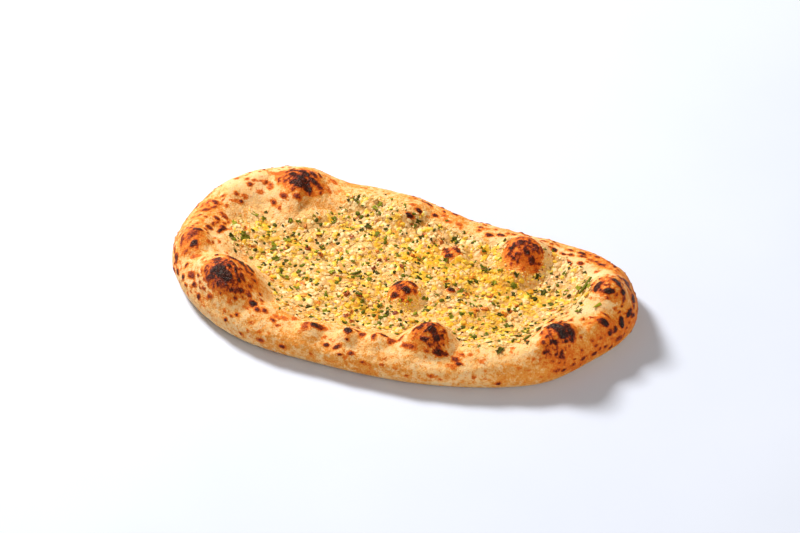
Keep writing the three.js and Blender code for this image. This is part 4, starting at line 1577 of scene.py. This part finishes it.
def shreds(seed):
    rng = np.random.default_rng(seed)
    faces, shapes = shred_faces(), []
    for x, y, turn, length in STALKS:
        side = (math.sin(math.radians(turn)), -math.cos(math.radians(turn)), 0)
        width, thickness = length * STALK_WIDTH, STALK_THICKNESS
        shapes.append(shred(rng, *on_topping(x, y), length, width, thickness, faces, side))
    for place, normal in scatter(seed + 1, SHRED_COUNT, SHRED_SPACING, herb_likely, on_topping):
        length = rng.uniform(*SHRED_LENGTHS)
        width, thickness = length * rng.uniform(*SHRED_WIDTHS), rng.uniform(*SHRED_THICKNESSES)
        shapes.append(shred(rng, place, normal, length, width, thickness, faces))
    return joined(shapes)


shred_piece = make_piece("coriander_shreds", "coriander", *shreds(45))

# %% [markdown]
# Oven heat takes the fresh green out of coriander. Each leaf or shred has its own tone between dark and mid
# green, a few are pale, some have dried brown in patches, and a leaflet's middle vein is a little paler.

# %% The finish of the coriander
LEAF_GREEN = paint(98, 104, 14)
LEAF_DARK = paint(60, 58, 6)
LEAF_PALE = paint(148, 150, 36)
LEAF_DRY = paint(92, 64, 22)


def coriander_finish():
    finish = Finish("coriander")
    tone = finish.field("tone") + finish.sway(2.2, 2) * 0.5
    colour = finish.layers(tone, LEAF_DARK, (0.1, 0.6, LEAF_GREEN), (0.75, 1, LEAF_PALE))
    colour = finish.blend(finish.cloud(4, 2, 50).step(0.6, 0.75) * 0.6, colour, LEAF_DRY)
    colour = finish.blend((1 - finish.field("vein").step(0, 0.05)) * 0.35, colour, LEAF_PALE)
    roughness = 0.5 + finish.cloud(1.5) * 0.2
    return finish.food(
        colour, roughness, gloss=0.1, relief=finish.cloud(0.6, 3), depth=0.1,
        glow=0.08, glow_colour=(0.4, 1, 0.2), glow_depth=0.8,
    )


coat(coriander_finish(), leaf_piece, shred_piece)

# %% [markdown]
# ## The table and the light
#
# The bread lies on a plain pale table. One large soft light stands high on the left and a little behind, so
# that the blisters throw short shadows to the lower right and their left sides glow. A weaker one from the
# front keeps the near rim readable, and the pale room does the rest.

# %% The table
# It reaches this far each way, in metres.
TABLE_HALF = 3


def table_finish():
    finish = Finish("table")
    colour = finish.blend(finish.cloud(180, 3), paint(206, 218, 242), paint(216, 227, 250))
    return finish.surface(Base_Color=colour, Roughness=0.7 + finish.cloud(40) * 0.1)


corners = np.array([[-1, -1, 0], [1, -1, 0], [1, 1, 0], [-1, 1, 0]]) * TABLE_HALF
table_mesh = bpy.data.meshes.new("table")
table_mesh.from_pydata(corners.tolist(), [], [(0, 1, 2, 3)])
table = bpy.data.objects.new("table", table_mesh)
bpy.context.scene.collection.objects.link(table)
coat(table_finish(), table)

# %% The lights
# Where each is, in metres, how large, how many watts, and its colour.
LIGHTS = {
    "key": ((-1.45, 0.8, 1.45), 0.5, 74, (1, 0.95, 0.87)),
    "fill": ((1.5, -1.1, 1.0), 1.4, 16.5, (1, 0.93, 0.83)),
}
ROOM_COLOUR, ROOM_STRENGTH = (1, 0.87, 0.7, 1), 0.33

for name, (place, size, watts, colour) in LIGHTS.items():
    light = bpy.data.lights.new(name, "AREA")
    light.size, light.energy, light.color = size, watts, colour
    lamp = bpy.data.objects.new(name, light)
    lamp.location = place
    lamp.rotation_euler = (-Vector(place)).to_track_quat("-Z", "Y").to_euler()
    bpy.context.scene.collection.objects.link(lamp)

room = bpy.data.worlds.new("room")
room.use_nodes = True
background = room.node_tree.nodes["Background"]
background.inputs["Color"].default_value = ROOM_COLOUR
background.inputs["Strength"].default_value = ROOM_STRENGTH
bpy.context.scene.world = room
bpy.context.scene.view_settings.view_transform = "Standard"
print("lights:", list(LIGHTS), "and a room of strength", ROOM_STRENGTH)

# %% [markdown]
# ## The end
#
# Last, the script says that the scene is made.

# %% The end
print("the scene is made")
